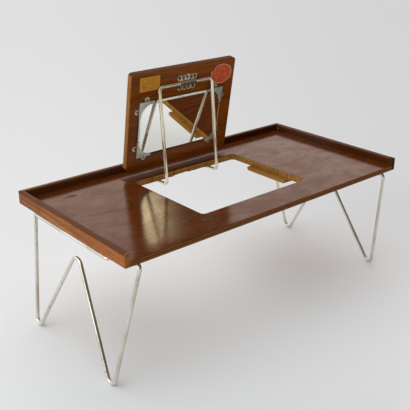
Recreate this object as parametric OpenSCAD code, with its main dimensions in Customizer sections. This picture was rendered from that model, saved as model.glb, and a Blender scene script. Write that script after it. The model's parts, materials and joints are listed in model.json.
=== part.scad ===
// Low bed table with folding wire legs and a panel that lifts out of the top on a wire bail.
// Millimetres. The origin is on the floor under the middle of the tray: +X right, +Y back, +Z up.
// The model stands as it is used, with both leg frames open and the panel raised.

/* [Tray] */
// Width of the tray over the side rails
tray_w = 650; // [600:10:720]
// Depth of the tray from its front edge to the back rail
tray_d = 327; // [310:1:360]
// Height of the tabletop above the floor
top_z = 235.5; // [225:0.5:260]
// Thickness of the plywood tabletop
board_t = 12; // [8:0.5:12.5]
// Thickness of each rail
rail_t = 10; // [8:0.5:14]
// How far the rails stand above the tabletop
rail_rise = 14; // [8:0.5:20]
// Radius of the rails' rounded top edges
rail_round = 3.5; // [1:0.5:3.8]
// Radius of the rails' lower outer edges and of the board's lower front edge
heel_r = 4.5; // [2:0.5:5]
// Radius of the tray's corners, seen from above
corner_r = 3.5; // [2:0.5:9]

/* [Opening and ledges] */
// Width of the opening in the tabletop
cut_w = 252; // [230:1:270]
// Depth of the opening
cut_d = 199; // [190:1:210]
// Corner radius of the opening
cut_r = 8; // [4:1:12]
// Distance from the opening's back wall to the tray's back edge
cut_margin = 68.5; // [62:0.5:72]
// How far each ledge reaches into the opening
ledge_reach = 10; // [8:0.5:11.5]
// How far each ledge lies under the board
ledge_lap = 20; // [14:1:26]
// Length of each ledge
ledge_l = 104; // [80:1:110]
// Thickness of each ledge
ledge_t = 7; // [6:0.5:10]
// Distance from the opening's front wall to the ledges
ledge_start = 42; // [38:1:48]

/* [Panel and mirror] */
// Gap between the panel and the opening at each side
panel_side_gap = 1.5; // [1:0.1:2.5]
// Gap between the panel and the opening at the front, when it lies flat
panel_front_gap = 1.5; // [1:0.1:2.5]
// Gap between the panel and the opening at the back, when it lies flat
panel_back_gap = 4.5; // [4.3:0.1:5.5]
// Thickness of the panel
panel_t = 11.7; // [8:0.1:13]
// Radius of the panel's corners, seen from the front
panel_corner_r = 9; // [5:0.5:12]
// Lean of the raised panel, its top towards the user
panel_lean = 9.5; // [8.5:0.1:10.5]
// Distance from the panel's top edge to the bail's crossbar
crossbar_drop = 33; // [29:1:38]
// Width of the mirror glass
mirror_w = 198; // [180:1:204]
// Height of the mirror glass
mirror_h = 109; // [100:1:113]
// Thickness of the mirror glass
mirror_t = 3; // [2:0.1:3.4]
// Radius of the panel's rounded edges
panel_round = 1.5; // [1:0.1:3]
// Width of the bevel round the mirror
bevel_w = 4; // [2:0.5:6]
// Distance of the mirror's middle to the left of the panel's middle
mirror_shift = 5; // [0:0.5:6]
// Distance from the crossbar down to the mirror's top edge
mirror_drop = 24; // [21:0.5:26]

/* [Clips] */
// Sheet thickness of the mirror's corner clips
clip_t = 0.9; // [0.6:0.1:1.2]
// Length of each arm of a corner clip
clip_arm = 31; // [26:1:34]
// Width of a corner clip's arm at its tip
clip_tip = 3.5; // [2.5:0.5:5]
// Distance from the mirror's corner to a clip's screw ears
ear_at = 17.5; // [14:0.5:20]
// Radius of a screw ear
ear_r = 5.2; // [4.2:0.1:6]
// Width of the keeper that holds the crossbar to the panel
keeper_w = 47; // [44:1:50]
// Distance between the keeper's two rows of screws
keeper_pitch = 19; // [18:0.5:20]
// Radius of the keeper's scallops
keeper_lobe = 5.6; // [5:0.1:6]
// Height of the keeper's upper edge above its upper row of screws
keeper_rise = 6.5; // [6:0.5:10]
// Distance of the keeper's middle to the right of the panel's middle
keeper_shift = 4; // [0:0.5:6]
// Sheet thickness of the keeper
keeper_t = 1; // [0.8:0.1:1.4]
// Width of each saddle that holds a wire under the board
saddle_w = 12; // [9:0.5:12.5]
// Sheet thickness of the saddles
saddle_t = 1.2; // [0.8:0.1:1.6]
// Length of a saddle's screw ear
saddle_ear = 13; // [12:0.5:16]

/* [Leg frames] */
// Diameter of the leg wire
leg_wire_d = 6.5; // [5:0.5:7]
// Distance from the tray's end to the leg frame's hinge line
leg_inset = 30; // [26:1:36]
// Distance from the tray's end to the bar that stops the frame under the rail
stop_inset = 4; // [3.5:0.5:8]
// Length of each hinge stub, from its outer corner to its inner one
stub_l = 26.5; // [26:0.5:30]
// How far beyond the tray's end the two wires of a foot would meet
foot_out = 9; // [0:1:20]
// Distance between the feet's meeting points along the frame
foot_pitch = 245; // [220:1:260]
// Distance from the tray's end to the middle peak of the frame
peak_inset = 17; // [10:1:24]
// Height at which the two wires of the middle peak would meet
peak_z = 189; // [150:1:195]
// Bend radius of the frame's upper corners
elbow_r = 8; // [6:0.5:8.5]
// Bend radius of the feet
foot_r = 10; // [6:0.5:12]
// Bend radius of the middle peak
peak_r = 15; // [10:1:20]

/* [Bail] */
// Diameter of the bail's wire
bail_wire_d = 6.5; // [5:0.5:6.5]
// Width of the bail between the middles of its two wires
bail_w = 126; // [100:2:128]
// Distance from the opening's back wall to the bail's pivot, under the board
bail_pivot = 21; // [20:0.5:23]
// Distance from the opening's back wall to the raised bail's wires
bail_setback = 20; // [18:0.5:26]
// Angle that the bail swings through, from flat to raised
bail_swing = 82.4; // [82:0.1:83.4]
// Length of each pivot pin of the bail, measured from the bail's side
bail_pin = 26; // [24:1:32]
// Bend radius of the bail's wire
bail_r = 8; // [6:0.5:9]

/* [Screws] */
// Diameter of the saddle and ledge screws
screw_d = 3.5; // [2.5:0.1:4]
// Length of the saddle and ledge screws under the head
screw_l = 9; // [6:0.5:9.5]
// Diameter of the small screws on the panel
pin_screw_d = 2.4; // [1.8:0.1:2.8]
// Length of the small screws under the head
pin_screw_l = 8; // [5:0.5:8.5]

/* [Hidden] */
$fn = 48;

// Working clearances
wire_gap = 0.1;    // between a wire and the flat that it lies against
running = 0.08;    // round a wire that turns in sheet metal
screw_gap = 0.05;  // round a screw in its hole
weld_gap = 0.01;   // between a straight and a bend of a wire, inside the collar that joins them
collar_out = 0.03; // how far that collar stands proud of the wire
collar_l = 0.5;    // and how long it is
rest_gap = 0.3;    // under the panel when it lies on its ledges
seat_gap = 0.1;    // between the glass and the clips

// Levels and edges of the tray
half_w = tray_w / 2;
half_d = tray_d / 2;
under_z = top_z - board_t;
rail_top = top_z + rail_rise;
board_back = half_d - rail_t;
cut_back = half_d - cut_margin;
cut_front = cut_back - cut_d;
ledge_front = cut_front + ledge_start;

// Leg frames
leg_wire = leg_wire_d / 2;
leg_z = under_z - leg_wire - wire_gap;
leg_x = half_w - leg_inset;
stop_x = half_w - stop_inset;
elbow_y = half_d - leg_wire;
stub_y = elbow_y - stub_l;
stop_y = stub_y - (stop_x - leg_x);

// Bail and panel: the panel's place in the opening sets the bail's length
bail_wire = bail_wire_d / 2;
bail_z = under_z - bail_wire - wire_gap;
pivot_y = cut_back + bail_pivot;
bail_elbow_y = cut_back - bail_setback;
bail_x = bail_w / 2;
crossbar_off = bail_wire + wire_gap;
flat_crossbar = [cut_front + panel_front_gap + crossbar_drop, under_z + rest_gap - crossbar_off];
bail_reach = norm(flat_crossbar - [pivot_y, bail_z]);
raised_angle = atan2(flat_crossbar[1] - bail_z, flat_crossbar[0] - pivot_y) - bail_swing;
bar_y = pivot_y + bail_reach * cos(wrap(raised_angle));
bar_z = bail_z + bail_reach * sin(wrap(raised_angle));
pin_end = bail_x - bail_pin;
bail_saddle_x = (pin_end + bail_x - bail_r) / 2;

panel_w = cut_w - 2 * panel_side_gap;
panel_h = cut_d - panel_front_gap - panel_back_gap;
mirror_top = -mirror_drop;
mirror_x = -mirror_shift;

// Screws
head_h = 2;
head_d = 2 * screw_d;
pin_head_h = 1.5;
pin_head_d = 1.9 * pin_screw_d;
ledge_bevel = ledge_t / 3;
ledge_screw_y = [ledge_front + ledge_l / 5, ledge_front + 4 * ledge_l / 5];
saddle_screw_at = leg_wire + running + saddle_t + saddle_ear / 2;
bail_screw_at = bail_wire + running + saddle_t + saddle_ear / 2;
keeper_screw_x = keeper_w / 2 - keeper_lobe;
keeper_lower_x = keeper_screw_x - keeper_w / 20;

// Colours
wood_dark = [0.36, 0.20, 0.10];
wood_rail = [0.69, 0.44, 0.24];
wood_light = [0.56, 0.41, 0.18];
steel = [0.78, 0.77, 0.72];
zinc = [0.60, 0.60, 0.55];
glass = [0.80, 0.84, 0.84];

// An angle brought into the turn from 0 to 360 degrees
function wrap(a) = a < 0 ? a + 360 : a;

// Bent wire

function unit(v) = v / norm(v);
// The angle that a wire turns through at b, coming from a and leaving for c
function turn_at(a, b, c) = acos(max(-1, min(1, unit(b - a) * unit(c - b))));
// How much of each straight a bend of radius r takes up at b
function take_up(a, b, c, r) = r * tan(turn_at(a, b, c) / 2);
// The direction at b from the incoming straight to the bend's centre
function inward(a, b, c) = unit(unit(c - b) - unit(b - a) * (unit(b - a) * unit(c - b)));

module straight_wire(p, q, d) {
    v = q - p;
    translate(p) rotate([0, acos(v[2] / norm(v)), atan2(v[1], v[0])]) cylinder(d = d, h = norm(v));
}

module wire_bend(a, b, c, r, d) {
    along = unit(b - a);
    side = inward(a, b, c);
    axis = cross(along, side);
    centre = b - along * take_up(a, b, c, r) + side * r;
    multmatrix([
        [-side[0], along[0], axis[0], centre[0]],
        [-side[1], along[1], axis[1], centre[1]],
        [-side[2], along[2], axis[2], centre[2]]])
        rotate_extrude(angle = turn_at(a, b, c)) translate([r, 0]) circle(d = d);
}

// A wire of diameter d through the corners pts, with the bend radii r; an open wire isn't bent at its ends.
// A short collar joins each straight to its bend.
module bent_wire(pts, r, d, closed = false) {
    n = len(pts);
    first = closed ? 0 : 1;
    last = closed ? n - 1 : n - 2;
    trim = [for (i = [0:n - 1]) i < first || i > last
        ? 0 : take_up(pts[(i + n - 1) % n], pts[i], pts[(i + 1) % n], r[i])];
    for (i = [0:closed ? n - 1 : n - 2]) {
        j = (i + 1) % n;
        v = unit(pts[j] - pts[i]);
        ends = [pts[i] + v * trim[i], pts[j] - v * trim[j]];
        bends = [trim[i] > 0, trim[j] > 0];
        straight_wire(ends[0] + v * (bends[0] ? weld_gap : 0), ends[1] - v * (bends[1] ? weld_gap : 0), d);
        for (k = [0, 1]) if (bends[k])
            straight_wire(ends[k] - v * collar_l / 2, ends[k] + v * collar_l / 2, d + 2 * collar_out);
    }
    for (i = [first:last])
        wire_bend(pts[(i + n - 1) % n], pts[i], pts[(i + 1) % n], r[i], d);
}

// Screws and sheet metal

// A round-head wood screw, its head standing on z = 0 and its shank going down
module wood_screw(d, l, head_d, head_h) {
    tip = d * 0.9;
    dome = (head_d * head_d / 4 + head_h * head_h) / (2 * head_h);
    difference() {
        union() {
            intersection() {
                translate([0, 0, head_h - dome]) sphere(r = dome);
                cylinder(d = head_d, h = head_h);
            }
            translate([0, 0, tip - l]) cylinder(d = d, h = l - tip);
            translate([0, 0, -l]) cylinder(d1 = 0.4, d2 = d, h = tip);
        }
        translate([-head_d / 2, -head_d * 0.06, head_h * 0.55]) cube([head_d, head_d * 0.12, head_h]);
    }
}

// A pilot hole for that screw, its mouth at z = 0, going down
module pilot(d, l) {
    translate([0, 0, -l - 0.5]) cylinder(d = d + 2 * screw_gap, h = l + 1);
}

// Half a pipe saddle under the board: the wire runs along Y through the origin's bore, the ear points to -X
module half_saddle(wire) {
    bore = wire + running;
    outer = bore + saddle_t;
    rise = wire + wire_gap;
    ear_x = outer + saddle_ear;
    difference() {
        translate([0, saddle_w / 2, 0]) rotate([90, 0, 0]) linear_extrude(saddle_w) difference() {
            union() {
                circle(r = outer);
                translate([-outer, 0]) square([2 * outer, rise]);
                translate([-ear_x, rise - saddle_t]) square([ear_x, saddle_t]);
            }
            circle(r = bore);
            translate([-bore, 0]) square([2 * bore, rise + 1]);
            translate([-ear_x, rise]) square([2 * ear_x, outer]);
        }
        translate([-outer - saddle_ear / 2, 0, rise - saddle_t - 1])
            cylinder(d = screw_d + 2 * screw_gap, h = saddle_t + 2);
        for (s = [-1, 1])
            translate([-ear_x, s * saddle_w / 2, rise - saddle_t - 1]) rotate([0, 0, 45])
                cube([5, 5, 2 * saddle_t + 4], center = true);
    }
}

// Places shared by the pieces

// Mirrors the right-hand piece over to the left
module on_left() { mirror([1, 0, 0]) children(); }

// The raised panel's own frame: x along the panel, y up its face, z out of the face towards the user,
// with its origin on the face behind the middle of the crossbar
module on_panel() {
    translate([0, bar_y, bar_z]) rotate([90 + panel_lean, 0, 0]) translate([0, 0, -crossbar_off]) children();
}

// The four saddles of the leg frames, each at the middle of its hinge stub
module at_leg_saddle(back) {
    translate([leg_x, (back ? 1 : -1) * leg_saddle_y, leg_z]) children();
}

// The saddle on the bail's right-hand pin, its ear pointing back
module at_bail_saddle() {
    translate([bail_saddle_x, pivot_y, bail_z]) rotate([0, 0, -90]) children();
}

// A corner of the mirror, turned so that the glass lies towards +x and +y
module at_mirror_corner(right, top) {
    translate([
        mirror_x + (right ? 1 : -1) * mirror_w / 2,
        top ? mirror_top : mirror_top - mirror_h,
        0])
        mirror([right ? 1 : 0, 0, 0]) mirror([0, top ? 1 : 0, 0]) children();
}

// A rectangle with round corners
module round_rect(w, d, r) {
    translate([r, 0]) square([w - 2 * r, d]);
    translate([0, r]) square([w, d - 2 * r]);
    for (x = [r, w - r], y = [r, d - r]) translate([x, y]) circle(r = r);
}

// The opening's outline, grown by e all round
module opening(e = 0) {
    translate([-cut_w / 2 - e, cut_front - e]) round_rect(cut_w + 2 * e, cut_d + 2 * e, cut_r + e);
}

// Tray

module board_pilots() {
    for (side = [0, 1]) mirror([side, 0, 0]) {
        for (y = [-1, 1])
            translate([leg_x - saddle_screw_at, y * leg_saddle_y, under_z]) mirror([0, 0, 1])
                pilot(screw_d, screw_l - saddle_t);
        translate([bail_saddle_x, pivot_y + bail_screw_at, under_z]) mirror([0, 0, 1])
            pilot(screw_d, screw_l - saddle_t);
        for (y = ledge_screw_y)
            translate([cut_w / 2 + ledge_lap / 2, y, under_z]) mirror([0, 0, 1]) pilot(screw_d, ledge_bite());
    }
}

// How far a ledge's screw goes into the board
function ledge_bite() = board_t - 3;

// What rounds the lower front edge of the board and of the side rails' ends
module front_heel() {
    translate([-half_w, -half_d, under_z]) rotate([90, 0, 90]) linear_extrude(tray_w) difference() {
        translate([-1, -1]) square(heel_r + 1);
        translate([heel_r, heel_r]) circle(r = heel_r);
    }
}

module tabletop() {
    color(wood_dark) difference() {
        translate([0, 0, under_z]) linear_extrude(board_t) difference() {
            translate([rail_t - half_w, -half_d]) square([tray_w - 2 * rail_t, board_back + half_d]);
            opening();
        }
        board_pilots();
        front_heel();
    }
}

// The outline that all the rails share, cut to one rail's own ground plan
module rail_blank(plan) {
    translate([0, 0, under_z]) linear_extrude(rail_top - under_z) intersection() {
        translate([-half_w, -half_d]) round_rect(tray_w, tray_d, corner_r);
        polygon(plan);
    }
}

// A rail's section: square against the board, with its top edges and its lower outer edge rounded
module rail_section() {
    h = rail_top - under_z;
    translate([0, under_z]) square([rail_t - heel_r, h - rail_round]);
    translate([0, under_z + heel_r]) square([rail_t, h - rail_round - heel_r]);
    translate([rail_t - heel_r, under_z + heel_r]) circle(r = heel_r);
    translate([rail_round, under_z]) square([rail_t - 2 * rail_round, h]);
    for (x = [rail_round, rail_t - rail_round]) translate([x, rail_top - rail_round]) circle(r = rail_round);
}

module side_rail() {
    color(wood_rail) difference() {
        intersection() {
            rail_blank([
                [half_w - rail_t, -half_d], [half_w, -half_d],
                [half_w, half_d], [half_w - rail_t, board_back]]);
            translate([half_w - rail_t, half_d, 0]) rotate([90, 0, 0]) linear_extrude(tray_d) rail_section();
        }
        front_heel();
    }
}

module rail_right() { side_rail(); }
module rail_left() { on_left() side_rail(); }

module rail_back() {
    color(wood_rail) intersection() {
        rail_blank([
            [rail_t - half_w, board_back], [half_w - rail_t, board_back],
            [half_w, half_d], [-half_w, half_d]]);
        translate([-half_w, board_back, 0]) rotate([90, 0, 90]) linear_extrude(tray_w) rail_section();
    }
}

// A ledge that the lowered panel lies on
module ledge() {
    color(wood_light) difference() {
        translate([cut_w / 2 - ledge_reach, ledge_front, under_z - ledge_t])
            cube([ledge_reach + ledge_lap, ledge_l, ledge_t]);
        for (y = ledge_screw_y) translate([cut_w / 2 + ledge_lap / 2, y, under_z - ledge_t - 1])
            cylinder(d = screw_d + 2 * screw_gap, h = ledge_t + 2);
        for (y = [ledge_front, ledge_front + ledge_l]) translate([0, y, under_z - ledge_t]) rotate([45, 0, 0])
            translate([0, -ledge_bevel, -ledge_bevel]) cube([cut_w, 2 * ledge_bevel, 2 * ledge_bevel]);
    }
}

module ledge_right() { ledge(); }
module ledge_left() { on_left() ledge(); }

module ledge_screws() {
    color(zinc) for (side = [0, 1], y = ledge_screw_y) mirror([side, 0, 0])
        translate([cut_w / 2 + ledge_lap / 2, y, under_z - ledge_t]) mirror([0, 0, 1])
            wood_screw(screw_d, ledge_t + ledge_bite(), head_d, head_h);
}

// Saddles

module leg_saddle(back) { color(zinc) at_leg_saddle(back) half_saddle(leg_wire); }
module leg_saddle_right_front() { leg_saddle(false); }
module leg_saddle_right_back() { leg_saddle(true); }
module leg_saddle_left_front() { on_left() leg_saddle(false); }
module leg_saddle_left_back() { on_left() leg_saddle(true); }

module bail_saddle_right() { color(zinc) at_bail_saddle() half_saddle(bail_wire); }
module bail_saddle_left() { on_left() bail_saddle_right(); }

// The screw in a saddle's ear, in the saddle's own frame
module saddle_screw(wire) {
    translate([-wire - running - saddle_t - saddle_ear / 2, 0, wire + wire_gap - saddle_t]) mirror([0, 0, 1])
        wood_screw(screw_d, screw_l, head_d, head_h);
}

module saddle_screws() {
    color(zinc) for (side = [0, 1]) mirror([side, 0, 0]) {
        for (back = [false, true]) at_leg_saddle(back) saddle_screw(leg_wire);
        at_bail_saddle() saddle_screw(bail_wire);
    }
}

// Leg frames

// The corners of the right-hand frame: the peak, the elbow, and the foot with its corner at height z
peak_pt = [half_w - peak_inset, 0, peak_z];
elbow_pt = [leg_x, elbow_y, leg_z];
function foot_pt(z) = [half_w + foot_out, foot_pitch / 2, z];

// The lowest point of the foot's bend, on the wire's middle line, for a corner at height z
function foot_low(z) =
    let (a = elbow_pt, b = foot_pt(z), c = peak_pt)
    let (centre = b - unit(b - a) * take_up(a, b, c, foot_r) + inward(a, b, c) * foot_r)
    let (axis = cross(unit(b - a), inward(a, b, c)))
    centre[2] - foot_r * sqrt(1 - axis[2] * axis[2]);

// The corner height that sets the bend's underside on the floor, found in a few steps
function settle(z, steps) = steps == 0 ? z : settle(z - foot_low(z) + leg_wire, steps - 1);
foot_corner = foot_pt(settle(-foot_r, 8));

function flip_y(p) = [p[0], -p[1], p[2]];

// The middle of the stub's straight part, where the saddle sits
leg_saddle_y = (stub_y + take_up(elbow_pt, [leg_x, stub_y, leg_z], [stop_x, stop_y, leg_z], elbow_r)
    + elbow_y - take_up(foot_corner, elbow_pt, [leg_x, stub_y, leg_z], elbow_r)) / 2;

module leg_frame() {
    half = [
        elbow_pt,
        [leg_x, stub_y, leg_z],
        [stop_x, stop_y, leg_z]];
    pts = [
        peak_pt, foot_corner, half[0], half[1], half[2],
        flip_y(half[2]), flip_y(half[1]), flip_y(half[0]), flip_y(foot_corner)];
    r = [peak_r, foot_r, elbow_r, elbow_r, elbow_r, elbow_r, elbow_r, elbow_r, foot_r];
    color(steel) bent_wire(pts, r, leg_wire_d, closed = true);
}

module leg_frame_right() { leg_frame(); }
module leg_frame_left() { on_left() leg_frame(); }

// Bail

module bail_wire_frame() {
    right = [
        [pin_end, pivot_y, bail_z],
        [bail_x, pivot_y, bail_z],
        [bail_x, bail_elbow_y, bail_z],
        [bail_x, bar_y, bar_z]];
    pts = concat(right, [for (i = [3:-1:0]) [-right[i][0], right[i][1], right[i][2]]]);
    color(steel) bent_wire(pts, [for (p = pts) bail_r], bail_wire_d);
}

// Panel, mirror and what holds them

// The places of the keeper's four screws, from the keeper's middle
function keeper_places() = [for (x = [-1, 1], up = [false, true])
    [x * (up ? keeper_screw_x : keeper_lower_x), (up ? 1 : -1) * keeper_pitch / 2]];

module panel_pilots() {
    for (right = [false, true], top = [false, true]) at_mirror_corner(right, top)
        for (p = ear_places()) translate([p[0], p[1], 0]) pilot(pin_screw_d, pin_screw_l - clip_t);
    for (p = keeper_places())
        translate([keeper_shift + p[0], p[1], 0]) pilot(pin_screw_d, pin_screw_l - keeper_t);
}

module flap_panel() {
    color(wood_dark) on_panel() difference() {
        translate([-panel_w / 2, crossbar_drop - panel_h, -panel_t]) intersection() {
            linear_extrude(panel_t) round_rect(panel_w, panel_h, panel_corner_r);
            translate([0, panel_h, 0]) rotate([90, 0, 0]) linear_extrude(panel_h)
                round_rect(panel_w, panel_t, panel_round);
            rotate([90, 0, 90]) linear_extrude(panel_w) round_rect(panel_h, panel_t, panel_round);
        }
        panel_pilots();
    }
}

// A plate's section with a bevelled front edge: l long and mirror_t thick
module bevel_section(l) {
    polygon([
        [0, 0], [l, 0], [l, mirror_t * 0.6], [l - bevel_w, mirror_t],
        [bevel_w, mirror_t], [0, mirror_t * 0.6]]);
}

module mirror_glass() {
    color(glass) on_panel() translate([mirror_x - mirror_w / 2, mirror_top - mirror_h, 0]) intersection() {
        translate([0, mirror_h, 0]) rotate([90, 0, 0]) linear_extrude(mirror_h) bevel_section(mirror_w);
        rotate([90, 0, 90]) linear_extrude(mirror_w) bevel_section(mirror_h);
    }
}

// The middles of a corner clip's two screw ears, in the corner's frame
function ear_places() = let (out = seat_gap + clip_t + ear_r * 0.55) [[ear_at, -out], [-out, ear_at]];

// A stamped clip over a corner of the glass: a cover with a hollow inner edge, two walls and two screw ears
module corner_clip() {
    out = seat_gap + clip_t;
    top = mirror_t + seat_gap;
    scoop = clip_arm - clip_tip + out;
    color(zinc) difference() {
        union() {
            difference() {
                translate([-out, -out, 0]) cube([clip_arm + out, clip_arm + out, top + clip_t]);
                translate([-seat_gap, -seat_gap, -1]) cube([clip_arm + 1, clip_arm + 1, top + 1]);
                translate([clip_arm, clip_arm, 0]) cylinder(r = scoop - out, h = top + clip_t + 1, $fn = 64);
            }
            for (p = ear_places()) translate([p[0], p[1], 0]) difference() {
                cylinder(r = ear_r, h = clip_t);
                translate([
                    p[0] > 0 ? -ear_r : -p[0] - seat_gap,
                    p[1] > 0 ? -ear_r : -p[1] - seat_gap, -1])
                    cube(2 * ear_r);
            }
        }
        for (p = ear_places()) translate([p[0], p[1], -1])
            cylinder(d = pin_screw_d + 2 * screw_gap, h = clip_t + 2);
    }
}

module mirror_clip(right, top) { on_panel() at_mirror_corner(right, top) corner_clip(); }
module mirror_clip_top_left() { mirror_clip(false, true); }
module mirror_clip_top_right() { mirror_clip(true, true); }
module mirror_clip_bottom_left() { mirror_clip(false, false); }
module mirror_clip_bottom_right() { mirror_clip(true, false); }

module mirror_clip_screws() {
    color(zinc) on_panel() for (right = [false, true], top = [false, true]) at_mirror_corner(right, top)
        for (p = ear_places()) translate([p[0], p[1], clip_t])
            wood_screw(pin_screw_d, pin_screw_l, pin_head_d, pin_head_h);
}

// The outline of the keeper's plate: five scallops above the crossbar and four below it
module keeper_outline() {
    row = keeper_pitch / 2;
    crown = row + keeper_rise - keeper_lobe;
    upper = [
        [-keeper_screw_x, row], [-keeper_screw_x / 2, crown - keeper_lobe / 4], [0, crown],
        [keeper_screw_x / 2, crown - keeper_lobe / 4], [keeper_screw_x, row]];
    lower = [for (x = [-1, -1 / 3, 1 / 3, 1]) [x * keeper_lower_x, -row]];
    for (p = concat(upper, lower)) translate(p) circle(r = keeper_lobe);
    polygon(concat(upper, [for (i = [3:-1:0]) lower[i]]));
}

// The stamped keeper: its plate and a half-round barrel over the crossbar in the plate's middle
module keeper_clip() {
    bore = bail_wire + running;
    outer = bore + keeper_t;
    barrel = keeper_w * 0.75;
    color(zinc) on_panel() translate([keeper_shift, 0, 0]) difference() {
        union() {
            linear_extrude(keeper_t) keeper_outline();
            translate([-barrel / 2, 0, 0]) rotate([90, 0, 90]) linear_extrude(barrel) {
                translate([0, crossbar_off]) circle(r = outer);
                translate([-outer, 0]) square([2 * outer, crossbar_off]);
            }
        }
        translate([-keeper_w / 2, 0, 0]) rotate([90, 0, 90]) linear_extrude(keeper_w) {
            translate([0, crossbar_off]) circle(r = bore);
            translate([-bore, -1]) square([2 * bore, crossbar_off + 1]);
        }
        for (p = keeper_places()) translate([p[0], p[1], -1])
            cylinder(d = pin_screw_d + 2 * screw_gap, h = keeper_t + 2);
    }
}

module keeper_screws() {
    color(zinc) on_panel() for (p = keeper_places()) translate([keeper_shift + p[0], p[1], keeper_t])
        wood_screw(pin_screw_d, pin_screw_l, pin_head_d, pin_head_h);
}

tabletop();
rail_left();
rail_right();
rail_back();
ledge_left();
ledge_right();
ledge_screws();
leg_saddle_left_front();
leg_saddle_left_back();
leg_saddle_right_front();
leg_saddle_right_back();
bail_saddle_left();
bail_saddle_right();
saddle_screws();
leg_frame_left();
leg_frame_right();
bail_wire_frame();
flap_panel();
mirror_glass();
mirror_clip_top_left();
mirror_clip_top_right();
mirror_clip_bottom_left();
mirror_clip_bottom_right();
mirror_clip_screws();
keeper_clip();
keeper_screws();
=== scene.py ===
"""Looks of the folding bed table: its wood, bent wire, mirror, sheet-metal clips and paper labels.

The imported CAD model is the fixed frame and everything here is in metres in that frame: +X to the
user's right, +Y away from the user, +Z up from the floor. Solids that only need softer edges are
copied from the CAD nodes and bevelled. The wires and the paper labels are modelled anew, and the
mirror and the screws are the CAD's own meshes.
"""

from __future__ import annotations

import json
import logging
import math
from contextlib import contextmanager
from dataclasses import dataclass, field, replace
from enum import Enum
from typing import Callable, Iterable, Iterator, Sequence

import bmesh
import bpy
from mathutils import Matrix, Vector


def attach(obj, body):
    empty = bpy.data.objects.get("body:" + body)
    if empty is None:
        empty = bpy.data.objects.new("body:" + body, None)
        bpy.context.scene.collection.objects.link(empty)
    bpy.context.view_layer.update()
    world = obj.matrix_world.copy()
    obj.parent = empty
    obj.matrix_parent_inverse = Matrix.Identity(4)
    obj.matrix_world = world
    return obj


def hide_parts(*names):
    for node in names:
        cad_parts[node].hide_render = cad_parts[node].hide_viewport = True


LOG = logging.getLogger("bed_table")

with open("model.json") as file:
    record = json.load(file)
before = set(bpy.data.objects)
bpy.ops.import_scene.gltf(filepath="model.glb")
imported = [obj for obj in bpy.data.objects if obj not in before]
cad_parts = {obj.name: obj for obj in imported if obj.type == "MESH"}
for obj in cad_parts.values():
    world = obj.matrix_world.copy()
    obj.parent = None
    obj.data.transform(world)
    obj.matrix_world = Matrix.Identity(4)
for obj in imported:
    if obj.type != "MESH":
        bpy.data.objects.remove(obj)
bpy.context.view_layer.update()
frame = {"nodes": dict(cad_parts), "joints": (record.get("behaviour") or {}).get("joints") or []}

Socket = bpy.types.NodeSocket
Colour = tuple[float, float, float]
Point = tuple[float, float, float]
Pair = tuple[float, float]

MM = 0.001


class Side(Enum):
    """The two ends of the table, as seen by its user."""

    LEFT = -1
    RIGHT = 1


class Grain(Enum):
    """The way that a board's fibres run, as the turn that brings them on to X."""

    ALONG_X = (0.0, 0.0, 0.0)
    ALONG_Y = (0.0, 0.0, -90.0)


# Shader graphs


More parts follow.
